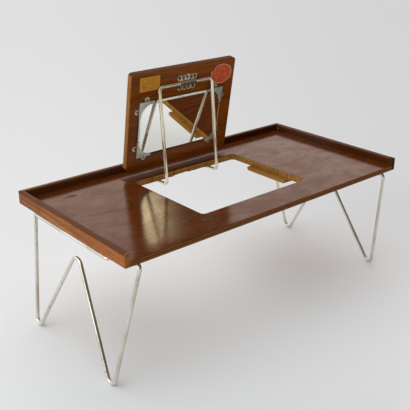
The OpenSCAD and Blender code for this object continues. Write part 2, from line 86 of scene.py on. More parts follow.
class Graph:
    """A shader node tree that is filled in by short calls."""

    def __init__(self, tree: bpy.types.NodeTree) -> None:
        """Starts from an empty tree.

        Args:
            tree: the node tree to fill.
        """
        self.tree = tree
        self.tree.nodes.clear()

    def node(
        self, kind: str, feeds: dict[str | int, object] | None = None, **settings: object
    ) -> bpy.types.Node:
        """Adds a node.

        Args:
            kind: the node's type name.
            feeds: what goes into its sockets, each a value or another node's output.
            settings: attributes of the node.

        Returns:
            The new node.
        """
        made = self.tree.nodes.new(kind)
        for name, value in settings.items():
            setattr(made, name, value)
        for name, value in (feeds or {}).items():
            self.feed(made.inputs[name], value)
        return made

    def feed(self, target: Socket, value: object) -> None:
        """Puts a value, or links an output, into a socket.

        Args:
            target: the input socket.
            value: a number, a vector, a colour or an output socket.
        """
        if isinstance(value, bpy.types.NodeSocket):
            self.tree.links.new(value, target)
        elif isinstance(value, tuple) and len(value) == 3 and target.type == "RGBA":
            target.default_value = (*value, 1.0)
        else:
            target.default_value = value

    def math(
        self, operation: str, first: object, second: object = 0.0, clamp: bool = False
    ) -> Socket:
        """Adds a math node and returns its output.

        Args:
            operation: the operation's name.
            first: the first operand.
            second: the second operand.
            clamp: whether the result is kept from 0 to 1.

        Returns:
            The result.
        """
        made = self.node(
            "ShaderNodeMath", {0: first, 1: second}, operation=operation, use_clamp=clamp
        )
        return made.outputs[0]

    def chain(self, operation: str, values: Sequence[object]) -> Socket:
        """Takes two or more values through one math operation, from the left.

        Args:
            operation: the operation's name.
            values: the operands.

        Returns:
            The result.
        """
        result = values[0]
        for value in values[1:]:
            result = self.math(operation, result, value)
        return result

    def plus(self, *terms: object) -> Socket:
        """Adds numbers up."""
        return self.chain("ADD", terms)

    def times(self, *factors: object) -> Socket:
        """Multiplies numbers."""
        return self.chain("MULTIPLY", factors)

    def most(self, *values: object) -> Socket:
        """Takes the largest of several numbers."""
        return self.chain("MAXIMUM", values)

    def minus(self, first: object, second: object) -> Socket:
        """Takes the second number from the first."""
        return self.math("SUBTRACT", first, second)

    def swing(self, noise: Socket, by: object) -> Socket:
        """Lets a noise of 0 to 1 swing to both sides of nought, and scales it."""
        return self.times(self.minus(noise, 0.5), by)

    def vector(self, operation: str, first: object, second: object = (0.0, 0.0, 0.0)) -> Socket:
        """Adds a vector math node and returns its output.

        Args:
            operation: the operation's name.
            first: the first operand.
            second: the second operand.

        Returns:
            The result: a number for a length, a distance or a dot product, and else a vector.
        """
        made = self.node("ShaderNodeVectorMath", {0: first, 1: second}, operation=operation)
        number = operation in ("LENGTH", "DISTANCE", "DOT_PRODUCT")
        return made.outputs["Value" if number else "Vector"]

    def local(self, place: Socket, centre: Point, tilt: float) -> Socket:
        """Reads a place in a piece's own axes.

        Args:
            place: the place in the table's frame.
            centre: the piece's middle.
            tilt: the turn about X, in degrees, that stands its axes up.

        Returns:
            The place in the piece's axes.
        """
        made = self.node(
            "ShaderNodeMapping",
            {"Vector": place, "Location": centre, "Rotation": (math.radians(tilt), 0.0, 0.0)},
            vector_type="TEXTURE",
        )
        return made.outputs[0]

    def fit(
        self, value: object, low: float, high: float, to_low: float = 0.0, to_high: float = 1.0
    ) -> Socket:
        """Maps a value's range smoothly on to another.

        Args:
            value: what is mapped.
            low: where the mapping starts.
            high: where it ends.
            to_low: the result at and below low.
            to_high: the result at and above high.

        Returns:
            The mapped value.
        """
        feeds = {"From Min": low, "From Max": high, "To Min": to_low, "To Max": to_high}
        made = self.node(
            "ShaderNodeMapRange", {"Value": value, **feeds}, interpolation_type="SMOOTHSTEP"
        )
        return made.outputs["Result"]

    def within(self, value: Socket, rise: Pair, fall: Pair) -> Socket:
        """A mask that rises softly to 1 over one span and falls back to 0 over another."""
        return self.times(self.fit(value, *rise), self.fit(value, *fall, 1.0, 0.0))

    def mix(self, factor: object, first: object, second: object) -> Socket:
        """Mixes two colours.

        Args:
            factor: how much of the second shows.
            first: the first colour.
            second: the second colour.

        Returns:
            The mixed colour.
        """
        made = self.node("ShaderNodeMix", data_type="RGBA")
        self.feed(made.inputs["Factor"], factor)
        colours = [s for s in made.inputs if s.type == "RGBA"]
        self.feed(colours[0], first)
        self.feed(colours[1], second)
        return next(s for s in made.outputs if s.type == "RGBA")

    def noise(
        self, vector: Socket, scale: float | Point, detail: float, rough: float, warp: float = 0.0
    ) -> Socket:
        """Adds a noise texture and returns its value.

        Args:
            vector: where it is read.
            scale: its waves to the metre, one number or one for each axis.
            detail: its octaves.
            rough: how much the octaves weigh.
            warp: its distortion.

        Returns:
            The noise, about 0 to 1.
        """
        scales = scale if isinstance(scale, tuple) else (scale, scale, scale)
        stretched = self.vector("MULTIPLY", vector, scales)
        feeds = {"Scale": 1.0, "Detail": detail, "Roughness": rough, "Distortion": warp}
        return self.node("ShaderNodeTexNoise", {"Vector": stretched, **feeds}).outputs["Fac"]

    def split(self, vector: Socket) -> tuple[Socket, Socket, Socket]:
        """Takes a vector apart into x, y and z."""
        made = self.node("ShaderNodeSeparateXYZ", {0: vector})
        return made.outputs[0], made.outputs[1], made.outputs[2]

    def use(self, group: bpy.types.NodeTree, feeds: dict[str | int, object]) -> bpy.types.Node:
        """Places a node group.

        Args:
            group: the group.
            feeds: what goes into its inputs.

        Returns:
            The group's node.
        """
        return self.node("ShaderNodeGroup", feeds, node_tree=group)


@dataclass(frozen=True)
class GroupInput:
    """A named input of a node group."""

    name: str
    kind: str = "NodeSocketFloat"
    start: object = None


VECTOR_IN = GroupInput("Vector", "NodeSocketVector")


def new_group(
    name: str, inputs: Sequence[GroupInput], outputs: Sequence[str]
) -> tuple[bpy.types.NodeTree, Graph, bpy.types.Node]:
    """Makes an empty node group with its sockets.

    Args:
        name: the group's name.
        inputs: its inputs.
        outputs: the names of its outputs, all of them plain numbers.

    Returns:
        The group, the graph to fill, and the node that gives its inputs.
    """
    tree = bpy.data.node_groups.new(name, "ShaderNodeTree")
    graph = Graph(tree)
    for item in inputs:
        made = tree.interface.new_socket(item.name, in_out="INPUT", socket_type=item.kind)
        if item.start is not None:
            made.default_value = item.start
    for output in outputs:
        tree.interface.new_socket(output, in_out="OUTPUT", socket_type="NodeSocketFloat")
    return tree, graph, graph.node("NodeGroupInput")


class Effects:
    """The node groups that several finishes share."""

    def __init__(self) -> None:
        """Builds each group once."""
        self.figure = self._figure()
        self.edges = self._edges()
        self.tarnish = self._tarnish()
        self.marks = self._marks()

    @staticmethod
    def _figure() -> bpy.types.NodeTree:
        """Builds the figure of a sliced or sawn board, with its fibres along the vector's x.

        Returns:
            A group that puts out growth bands, fine fibres, dark pores and broad clouding.
        """
        inputs = [VECTOR_IN, GroupInput("Bands", start=1.0), GroupInput("Warp", start=1.0)]
        tree, g, given = new_group("board_figure", inputs, ["Bands", "Fibres", "Pores", "Clouds"])
        vector = given.outputs["Vector"]
        clouds = g.noise(vector, (5.0, 13.0, 13.0), 3.0, 0.55, 0.6)
        sway = g.noise(vector, (3.0, 9.0, 9.0), 2.0, 0.5)
        x, y, z = g.split(vector)
        across = g.plus(y, z, g.times(g.swing(sway, given.outputs["Warp"]), 0.09))
        phase = g.times(across, given.outputs["Bands"], 95.0)
        banded = g.node("ShaderNodeCombineXYZ", {0: g.times(x, 2.2), 1: phase, 2: 0.0}).outputs[0]
        bands = g.noise(banded, 1.0, 4.0, 0.62)
        fibres = g.noise(vector, (26.0, 900.0, 900.0), 2.0, 0.6)
        pores = g.fit(g.noise(vector, (90.0, 1500.0, 1500.0), 1.0, 0.5), 0.62, 0.72)
        outs = {"Bands": bands, "Fibres": fibres, "Pores": pores, "Clouds": clouds}
        g.node("NodeGroupOutput", outs)
        return tree

    @staticmethod
    def _edges() -> bpy.types.NodeTree:
        """Builds a mask of a box's edges, broken up as handling wears them.

        Returns:
            A group that is 1 on the worn parts of the edges of a box round the origin.
        """
        inputs = [
            VECTOR_IN,
            GroupInput("Half", "NodeSocketVector"),
            GroupInput("Width", start=0.002),
            GroupInput("Amount", start=0.5),
        ]
        tree, g, given = new_group("edge_wear", inputs, ["Wear"])
        vector = given.outputs["Vector"]
        past = g.vector("SUBTRACT", g.vector("ABSOLUTE", vector), given.outputs["Half"])
        a, b, c = g.split(past)
        second = g.most(g.math("MINIMUM", a, b), g.math("MINIMUM", g.most(a, b), c))
        near = g.plus(g.math("DIVIDE", second, given.outputs["Width"]), 1.0)
        broken = g.noise(vector, 70.0, 4.0, 0.65)
        lit = g.minus(g.plus(near, broken), g.minus(1.15, given.outputs["Amount"]))
        g.node("NodeGroupOutput", {"Wear": g.fit(lit, 0.3, 0.55)})
        return tree

    @staticmethod
    def _tarnish() -> bpy.types.NodeTree:
        """Builds the dulling and the rust bloom of old plated metal.

        Returns:
            A group that puts out a soft dulling and small dark rusty spots.
        """
        inputs = [VECTOR_IN, GroupInput("Size", start=1.0), GroupInput("Rust", start=0.5)]
        tree, g, given = new_group("tarnish", inputs, ["Dull", "Spots"])
        vector = g.vector("MULTIPLY", given.outputs["Vector"], given.outputs["Size"])
        dull = g.noise(vector, 22.0, 4.0, 0.6)
        fine = g.noise(vector, 260.0, 3.0, 0.7)
        patch = g.noise(vector, 12.0, 2.0, 0.5)
        level = g.plus(g.times(fine, 0.6), g.times(patch, 0.6), g.times(given.outputs["Rust"], 0.2))
        g.node("NodeGroupOutput", {"Dull": dull, "Spots": g.fit(level, 0.74, 0.86)})
        return tree

    @staticmethod
    def _marks() -> bpy.types.NodeTree:
        """Builds fine random scratches and handling smears.

        Returns:
            A group that puts out thin scratches and broad smears.
        """
        inputs = [VECTOR_IN, GroupInput("Density", start=0.5)]
        tree, g, given = new_group("handling_marks", inputs, ["Scratches", "Smears"])
        vector = given.outputs["Vector"]
        scratches = []
        for turn in (23.0, -41.0, 78.0):
            rotation = (0.0, 0.0, math.radians(turn))
            turned = g.node("ShaderNodeMapping", {"Vector": vector, "Rotation": rotation})
            streaks = g.noise(turned.outputs[0], (9.0, 700.0, 700.0), 1.0, 0.4)
            scratches.append(g.fit(streaks, 0.735, 0.765))
        kept = g.times(g.most(*scratches), given.outputs["Density"])
        smears = g.noise(vector, (10.0, 14.0, 14.0), 5.0, 0.7, 1.5)
        g.node("NodeGroupOutput", {"Scratches": kept, "Smears": smears})
        return tree


# Finishes


@dataclass(frozen=True)
class Finish:
    """What every finish has: a name, and a material that is built once."""

    name: str

    def start(self) -> tuple[bpy.types.Material, Graph, Socket]:
        """Makes the empty material.

        Returns:
            The material, its graph, and the object coordinates.
        """
        material = bpy.data.materials.new(self.name)
        material.use_nodes = True
        graph = Graph(material.node_tree)
        return material, graph, graph.node("ShaderNodeTexCoord").outputs["Object"]

    @staticmethod
    def close(graph: Graph, feeds: dict[str | int, object]) -> None:
        """Adds the surface shader and the material's output.

        Args:
            graph: the material's graph.
            feeds: what goes into the surface shader.
        """
        shader = graph.node("ShaderNodeBsdfPrincipled", feeds)
        graph.node("ShaderNodeOutputMaterial", {"Surface": shader.outputs[0]})

    @staticmethod
    def bump(graph: Graph, height: Socket, strength: float, distance: float) -> Socket:
        """Adds a bump node and returns its normal."""
        made = graph.node(
            "ShaderNodeBump", {"Height": height, "Strength": strength, "Distance": distance}
        )
        return made.outputs[0]


Marks = Callable[[Graph, Socket, Socket], tuple[Socket, object]]


@dataclass(frozen=True)
class WoodFinish(Finish):
    """Sliced or sawn wood under lacquer."""

    dark: Colour = (0.05, 0.02, 0.01)
    middle: Colour = (0.12, 0.05, 0.02)
    light: Colour = (0.2, 0.09, 0.04)
    worn: Colour = (0.35, 0.2, 0.1)
    grain: Grain = Grain.ALONG_X
    bands: float = 1.0
    warp: float = 1.0
    pores: float = 0.5
    fibres: float = 0.3
    rough: float = 0.55
    shine: float = 0.0
    coat: float = 1.0
    coat_rough: float = 0.12
    patchy: float = 0.0
    scratch: float = 0.5
    centre: Point = (0.0, 0.0, 0.0)
    shift: Point = (0.0, 0.0, 0.0)
    half: Point = (9.0, 9.0, 9.0)
    wear_width: float = 0.002
    wear: float = 0.4
    tilt: float = 0.0

    def material(self, effects: Effects, extra: Marks | None = None) -> bpy.types.Material:
        """Builds the material.

        Args:
            effects: the shared node groups.
            extra: draws this board's own marks over the colour. It takes the graph, the vector
                and the colour, and gives the new colour and how far the lacquer is dulled.

        Returns:
            The finished material.
        """
        material, g, place = self.start()
        local = g.local(place, self.centre, self.tilt)
        turn = tuple(math.radians(angle) for angle in self.grain.value)
        turned = g.node(
            "ShaderNodeMapping", {"Vector": local, "Location": self.shift, "Rotation": turn}
        ).outputs[0]
        figure = g.use(effects.figure, {"Vector": turned, "Bands": self.bands, "Warp": self.warp})
        marks = g.use(effects.marks, {"Vector": local, "Density": self.scratch})
        edges = g.use(
            effects.edges,
            {"Vector": local, "Half": self.half, "Width": self.wear_width, "Amount": self.wear},
        )
        fibres, pores = figure.outputs["Fibres"], figure.outputs["Pores"]
        smears, wear = marks.outputs["Smears"], edges.outputs["Wear"]
        clouded = g.mix(g.fit(figure.outputs["Clouds"], 0.3, 0.7), self.dark, self.middle)
        banded = g.mix(g.fit(figure.outputs["Bands"], 0.36, 0.68), clouded, self.light)
        fibred = g.mix(g.times(g.fit(fibres, 0.35, 0.75), self.fibres), banded, self.dark)
        pored = g.mix(g.times(pores, self.pores), fibred, tuple(0.4 * c for c in self.dark))
        colour, dull = extra(g, place, pored) if extra else (pored, 0.0)
        scratched = g.mix(g.times(marks.outputs["Scratches"], 0.25), colour, self.worn)
        worn = g.mix(g.times(wear, 0.8), scratched, self.worn)
        rough = g.math("ADD", self.rough, g.swing(smears, 0.22), clamp=True)
        relief = g.minus(g.times(fibres, 0.5), pores)
        whole = g.minus(1.0, g.most(g.times(wear, 0.9), dull))
        coat = g.times(whole, g.fit(smears, 0.38, 0.62, 1.0 - self.patchy, 1.0), self.coat)
        self.close(
            g,
            {
                "Base Color": worn,
                "Roughness": rough,
                "Specular IOR Level": self.shine,
                "Coat Weight": coat,
                "Coat Roughness": self.coat_rough,
                "Normal": self.bump(g, relief, 0.25, 0.00025),
            },
        )
        return material


# The lacquered veneer of the top, and of the panel that was cut from it.
SHEET = WoodFinish(
    "top_veneer",
    dark=(0.055, 0.0105, 0.0012),
    middle=(0.086, 0.0185, 0.0024),
    light=(0.120, 0.030, 0.0050),
    worn=(0.28, 0.13, 0.05),
    bands=2.6,
    warp=2.4,
    pores=0.2,
    fibres=0.18,
    coat_rough=0.16,
    patchy=0.28,
    scratch=0.35,
    half=(325.0 * MM, 163.5 * MM, 1.0),
    wear_width=1.2 * MM,
    wear=0.15,
)


@dataclass(frozen=True)
class PlyEdgeFinish(Finish):
    """The sawn edge of plywood: five plies of changing tone under a dark face veneer."""

    dark: Colour = (0.105, 0.029, 0.0040)
    light: Colour = (0.27, 0.105, 0.022)
    face: Colour = (0.045, 0.012, 0.0025)
    thick: float = 12.0 * MM
    plies: int = 5
    axis: Point = (0.0, 0.0, 1.0)
    base: float = 223.5 * MM
    rough: float = 0.6
    coat: float = 0.25
    coat_rough: float = 0.25
    tear: float = 0.35
    sawn: float = 0.15

    def material(self, effects: Effects) -> bpy.types.Material:
        """Builds the material.

        Args:
            effects: the shared node groups; not used.

        Returns:
            The finished material.
        """
        material, g, place = self.start()
        height = g.vector("DOT_PRODUCT", place, self.axis)
        sway = g.noise(place, 9.0, 2.0, 0.5)
        level = g.math("DIVIDE", g.minus(height, self.base), self.thick)
        level = g.plus(level, g.swing(sway, 0.05))
        wave = g.math("COSINE", g.times(level, math.pi * self.plies))
        long_grain = g.noise(place, (14.0, 14.0, 900.0), 3.0, 0.6)
        end_grain = g.noise(place, (600.0, 600.0, 300.0), 3.0, 0.7)
        patches = g.noise(place, (24.0, 24.0, 60.0), 4.0, 0.6)
        striped = g.mix(g.fit(wave, -0.5, 0.5, 0.15, 0.75), self.dark, self.light)
        grained = g.mix(g.times(g.fit(long_grain, 0.4, 0.75), 0.5), striped, self.dark)
        sawn = g.noise(place, (520.0, 520.0, 24.0), 2.0, 0.6)
        grained = g.mix(g.times(g.fit(sawn, 0.46, 0.66), self.sawn), grained, self.face)
        flecked = g.mix(g.times(g.fit(end_grain, 0.5, 0.85), 0.5), grained, self.face)
        stained = g.mix(g.times(g.fit(patches, 0.5, 0.75), self.tear), flecked, self.face)
        faced = g.mix(g.fit(level, 0.93, 0.97), stained, self.face)
        relief = g.plus(g.times(wave, 0.5), g.times(end_grain, 1.5))
        self.close(
            g,
            {
                "Base Color": faced,
                "Roughness": g.plus(self.rough, g.times(long_grain, 0.2)),
                "Specular IOR Level": 0.05,
                "Coat Weight": self.coat,
                "Coat Roughness": self.coat_rough,
                "Normal": self.bump(g, relief, 0.35, 0.0003),
            },
        )
        return material


@dataclass(frozen=True)
class MetalFinish(Finish):
    """Old plated metal, with its dulling, its rusty spots and, on the wires, a brown side that is
    partly tarnish and partly painted shade.
    """

    bright: Colour = (0.78, 0.76, 0.70)
    dull: Colour = (0.5, 0.48, 0.42)
    rust: Colour = (0.16, 0.07, 0.03)
    rough: float = 0.16
    rough_dull: float = 0.38
    size: float = 1.0
    rusty: float = 0.5
    relief: float = 0.00006
    shaded_brown: float = 0.0
    brown: Colour = (0.34, 0.22, 0.13)
    grime: Colour = (0.045, 0.034, 0.020)
    metal: float = 1.0

    def material(self, effects: Effects) -> bpy.types.Material:
        """Builds the material.

        Args:
            effects: the shared node groups.

        Returns:
            The finished material.
        """
        material, g, place = self.start()
        age = g.use(effects.tarnish, {"Vector": place, "Size": self.size, "Rust": self.rusty})
        dulled = g.fit(age.outputs["Dull"], 0.38, 0.68)
        spots = age.outputs["Spots"]
        metal = g.mix(dulled, self.bright, self.dull)
        colour = g.mix(g.times(spots, 0.75), metal, self.rust)
        rough = g.plus(self.rough, g.times(dulled, self.rough_dull - self.rough))
        rough = g.math("ADD", rough, g.times(spots, 0.3), clamp=True)
        height = g.plus(g.times(age.outputs["Dull"], 0.5), g.times(spots, 0.5))
        normal = self.bump(g, height, 0.3, self.relief)
        pressed = self.pressed(g, place)
        if pressed is not None:
            colour = g.mix(g.times(g.fit(pressed, 0.50, 0.05), 0.82), colour, self.grime)
            normal = self.bump(g, pressed, 1.0, 0.0006)
        # Painted shade: brown drawn on the side of a wire that faces away from the window; partly
        # tarnish.
        if self.shaded_brown:
            patina = g.node("ShaderNodeAttribute", attribute_name="patina").outputs["Fac"]
            ragged = g.plus(patina, g.swing(age.outputs["Dull"], 0.5))
            colour = g.mix(g.times(g.fit(ragged, 0.32, 0.72), self.shaded_brown), colour, self.brown)
        self.close(
            g,
            {
                "Base Color": colour,
                "Metallic": g.times(g.minus(1.0, g.times(spots, 0.7)), self.metal),
                "Roughness": rough,
                "Normal": normal,
            },
        )
        return material

    def pressed(self, g: Graph, place: Socket) -> Socket | None:
        """The height, 0 to 1, of the pattern pressed into the sheet: none on plain metal."""
        return None


@dataclass(frozen=True)
class StampedFinish(MetalFinish):
    """Plated sheet with a row of pressed cups on each side of a barrel and grime in the hollows."""

    lobes: tuple[Pair, ...] = ()
    cup: float = 3.0 * MM
    lip: float = 4.6 * MM
    barrel: float = 5.0 * MM
    centre: Point = (0.0, 0.0, 0.0)
    tilt: float = 0.0

    def pressed(self, g: Graph, place: Socket) -> Socket:
        """The height of the cups' lips and of the barrel's upper side."""
        local = g.local(place, self.centre, self.tilt)
        _, y, _ = g.split(local)
        flat = g.vector("MULTIPLY", local, (1.0, 1.0, 0.0))
        nearest: object = 1.0
        for across, up in self.lobes:
            nearest = g.math("MINIMUM", nearest, g.vector("DISTANCE", flat, (across, up, 0.0)))
        cups = g.fit(nearest, self.cup, self.lip)
        barrel = g.fit(y, -0.1 * self.barrel, 0.9 * self.barrel)
        inside = g.fit(g.math("ABSOLUTE", y), 1.1 * self.barrel, 0.9 * self.barrel)
        return g.plus(g.times(cups, g.minus(1.0, inside)), g.times(barrel, inside))


@dataclass(frozen=True)
class MirrorFinish(Finish):
    """Silvered glass with a little foxing towards its edges, a dark strip along its left bevel and
    a painted highlight along its right one.
    """

    silver: Colour = (0.97, 0.97, 0.925)
    bevel: Colour = (0.62, 0.65, 0.54)
    side: Colour = (0.05, 0.065, 0.045)
    # The colour of the painted highlight along the right bevel.
    bevel_glint: Colour = (0.90, 0.70, 0.42)
    foxed: Colour = (0.07, 0.06, 0.05)
    bevel_width: float = 4.0 * MM
    rim_width: float = 14.0 * MM
    centre: Point = (0.0, 0.0, 0.0)
    tilt: float = 0.0
    half: Pair = (0.1, 0.06)

    def material(self, effects: Effects) -> bpy.types.Material:
        """Builds the material.

        Args:
            effects: the shared node groups; not used.

        Returns:
            The finished material.
        """
        material, g, place = self.start()
        local = g.local(place, self.centre, self.tilt)
        x, y, _ = g.split(local)
        half_x, half_y = self.half
        past_x = g.minus(g.math("ABSOLUTE", x), half_x)
        inset = g.most(past_x, g.minus(g.math("ABSOLUTE", y), half_y))
        rim = g.fit(inset, -self.rim_width, 0.0)
        inner = g.fit(inset, -1.08 * self.bevel_width, -0.92 * self.bevel_width)
        bevelled = g.mix(inner, self.silver, self.bevel)
        shaded = g.times(g.fit(x, 1.6 * MM - half_x, 0.9 * MM - half_x), 0.85)
        # Painted highlight: a pale matt strip along the right bevel, where the glass catches the
        # light.
        painted_glint = g.times(g.fit(x, half_x - 3.2 * MM, half_x - 2.4 * MM), 0.85)
        edged = g.mix(g.most(g.fit(inset, -0.4 * MM, -0.1 * MM), shaded), bevelled, self.side)
        specks = g.noise(local, 330.0, 3.0, 0.7)
        veil = g.noise(local, 30.0, 3.0, 0.6)
        foxing = g.fit(g.plus(specks, g.times(rim, veil, 0.34)), 0.72, 0.80)
        self.close(
            g,
            {
                "Base Color": g.mix(foxing, g.mix(painted_glint, edged, self.bevel_glint), self.foxed),
                "Metallic": g.minus(1.0, painted_glint),
                "Roughness": g.plus(0.012, g.times(g.fit(veil, 0.5, 0.8), 0.03)),
            },
        )
        return material


@dataclass(frozen=True)
class PaperFinish(Finish):
    """Aged, varnished paper with a cut rim and blots in place of any print."""

    colour: Colour = (0.6, 0.4, 0.1)
    faded: Colour = (0.7, 0.5, 0.2)
    blot: Colour = (0.3, 0.15, 0.03)
    rim: Colour = (0.7, 0.6, 0.45)
    rim_start: float = 0.93
    centre: Point = (0.0, 0.0, 0.0)
    tilt: float = 0.0

    def material(self, effects: Effects) -> bpy.types.Material:
        """Builds the material, which reads the mesh's reach attribute: 1 at the label's rim.

        Args:
            effects: the shared node groups.

        Returns:
            The finished material.
        """
        material, g, place = self.start()
        local = g.local(place, self.centre, self.tilt)
        reach = g.node("ShaderNodeAttribute", attribute_name="reach").outputs["Fac"]
        mottle = g.noise(local, 110.0, 4.0, 0.65)
        fleck = g.noise(local, 700.0, 2.0, 0.6)
        blots = g.noise(local, (260.0, 420.0, 420.0), 3.0, 0.6, 1.0)
        marks = g.use(effects.marks, {"Vector": local, "Density": 1.0})
        aged = g.mix(g.fit(mottle, 0.35, 0.7), self.colour, self.faded)
        field_only = g.fit(reach, self.rim_start - 0.16, self.rim_start - 0.06, 1.0, 0.0)
        blotted = g.mix(g.times(g.fit(blots, 0.48, 0.62), 0.55, field_only), aged, self.blot)
        flecked = g.mix(g.times(g.fit(fleck, 0.5, 0.8), 0.3), blotted, self.faded)
        scuffed = g.mix(g.times(marks.outputs["Scratches"], 0.6), flecked, self.rim)
        ragged = g.plus(reach, g.swing(fleck, 0.05))
        on_rim = g.fit(ragged, self.rim_start - 0.015, self.rim_start + 0.015)
        rimmed = g.mix(on_rim, scuffed, self.rim)
        self.close(
            g,
            {
                "Base Color": rimmed,
                "Roughness": g.plus(0.45, g.times(mottle, 0.25)),
                "Specular IOR Level": 0.2,
                "Normal": self.bump(g, g.plus(mottle, blots), 0.4, 0.0003),
            },
        )
        return material


# Modelling

# In degrees: faces that meet at less are one flat face, and edges that turn by more are rounded.
FLAT_ANGLE = 0.3
SHARP_ANGLE = 40.0


def deselect() -> None:
    """Leaves edit mode and deselects everything."""
    if bpy.context.object and bpy.context.object.mode != "OBJECT":
        bpy.ops.object.mode_set(mode="OBJECT")
    bpy.ops.object.select_all(action="DESELECT")


def take(obj: bpy.types.Object) -> None:
    """Makes an object the only selected and active one."""
    deselect()
    obj.select_set(True)
    bpy.context.view_layer.objects.active = obj


def added(name: str) -> bpy.types.Object:
    """Names the object that was just added, with its mesh, and returns it."""
    obj = bpy.context.object
    obj.name = obj.data.name = name
    return obj


@contextmanager
def editing(obj: bpy.types.Object) -> Iterator[None]:
    """Opens an object in edit mode with its whole mesh selected, and leaves the mode after."""
    take(obj)
    bpy.ops.object.mode_set(mode="EDIT")
    bpy.ops.mesh.select_all(action="SELECT")
    yield
    bpy.ops.object.mode_set(mode="OBJECT")


def apply_modifier(obj: bpy.types.Object, kind: str, **settings: object) -> None:
    """Adds a modifier to an object and applies it.

    Args:
        obj: the object.
        kind: the modifier's type.
        settings: its settings.
    """
    take(obj)
    made = obj.modifiers.new(kind.lower(), kind)
    for name, value in settings.items():
        setattr(made, name, value)
    bpy.ops.object.modifier_apply(modifier=made.name)


def settle(obj: bpy.types.Object, smooth: float = 35.0) -> bpy.types.Object:
    """Puts an object's place into its mesh and smooths its shading.

    Args:
        obj: the object.
        smooth: edges sharper than this many degrees stay sharp.

    Returns:
        The object.
    """
    take(obj)
    bpy.ops.object.transform_apply(location=True, rotation=True, scale=True)
    bpy.ops.object.shade_smooth_by_angle(angle=math.radians(smooth))
    return obj


def soften(node: str, name: str, width: float, segments: int = 2) -> bpy.types.Object:
    """Copies a CAD node and rounds its sharp edges a little, as a worker's abrasive paper does.

    Args:
        node: the CAD node.
        name: the new piece's name.
        width: the rounding's width in metres.
        segments: its segments.

    Returns:
        The new piece.
    """
    source = frame["nodes"][node]
    made = source.copy()
    made.data = source.data.copy()
    made.name = made.data.name = name
    bpy.context.scene.collection.objects.link(made)
    made.data.materials.clear()
    with editing(made):
        bpy.ops.mesh.remove_doubles(threshold=1e-6)
        bpy.ops.mesh.dissolve_limited(angle_limit=math.radians(FLAT_ANGLE))
    if made.data.has_custom_normals:
        bpy.ops.mesh.customdata_custom_splitnormals_clear()
    limit = math.radians(SHARP_ANGLE)
    apply_modifier(
        made, "BEVEL", width=width, segments=segments, limit_method="ANGLE", angle_limit=limit
    )
    finish_shading(made)
    return made


def finish_shading(obj: bpy.types.Object) -> None:
    """Shades a piece smoothly, with its large faces left flat."""
    settle(obj)
    apply_modifier(obj, "WEIGHTED_NORMAL", keep_sharp=True, weight=60)


def dress_by_face(
    obj: bpy.types.Object,
    choose: Callable[[Vector, Vector], int],
    finishes: Sequence[bpy.types.Material],
) -> None:
    """Gives each face one of several materials.

    Args:
        obj: the piece.
        choose: gives the material's number from a face's centre and normal.
        finishes: the materials.
    """
    obj.data.materials.clear()
    for finish in finishes:
        obj.data.materials.append(finish)
    for face in obj.data.polygons:
        face.material_index = choose(face.center, face.normal)


def dress(obj: bpy.types.Object, finish: bpy.types.Material) -> None:
    """Gives a whole piece, or a CAD node, one material."""
    obj.data.materials.clear()
    obj.data.materials.append(finish)


def crossbar() -> Vector:
    """The middle of the bail's crossbar, about which the panel tilts."""
    tilt = next(joint for joint in frame["joints"] if joint["name"] == "panel_tilt")
    return Vector(tilt["pos_m"])


@dataclass
class PanelFrame:
    """The raised panel's own axes: x along it, y up its face, z out of it towards the user."""

    lean: float = 9.5
    crossbar_off: float = 3.35 * MM
    origin: Vector = field(init=False)

    def __post_init__(self) -> None:
        """Finds the point on the face that lies behind the middle of the crossbar."""
        self.origin = crossbar() - self.out() * self.crossbar_off

    def tilt(self) -> float:
        """The turn about X, in degrees, that stands the axes up."""
        return 90.0 + self.lean

    def out(self) -> Vector:
        """The way that the face looks."""
        turn = math.radians(self.tilt())
        return Vector((0.0, -math.sin(turn), math.cos(turn)))

    def matrix(self) -> Matrix:
        """Takes panel coordinates into the table's frame."""
        return Matrix.Translation(self.origin) @ Matrix.Rotation(math.radians(self.tilt()), 4, "X")

    def at(self, x: float, up: float, out: float = 0.0) -> Vector:
        """A point given on the panel, in millimetres, in the table's frame and metres."""
        return self.matrix() @ (Vector((x, up, out)) * MM)


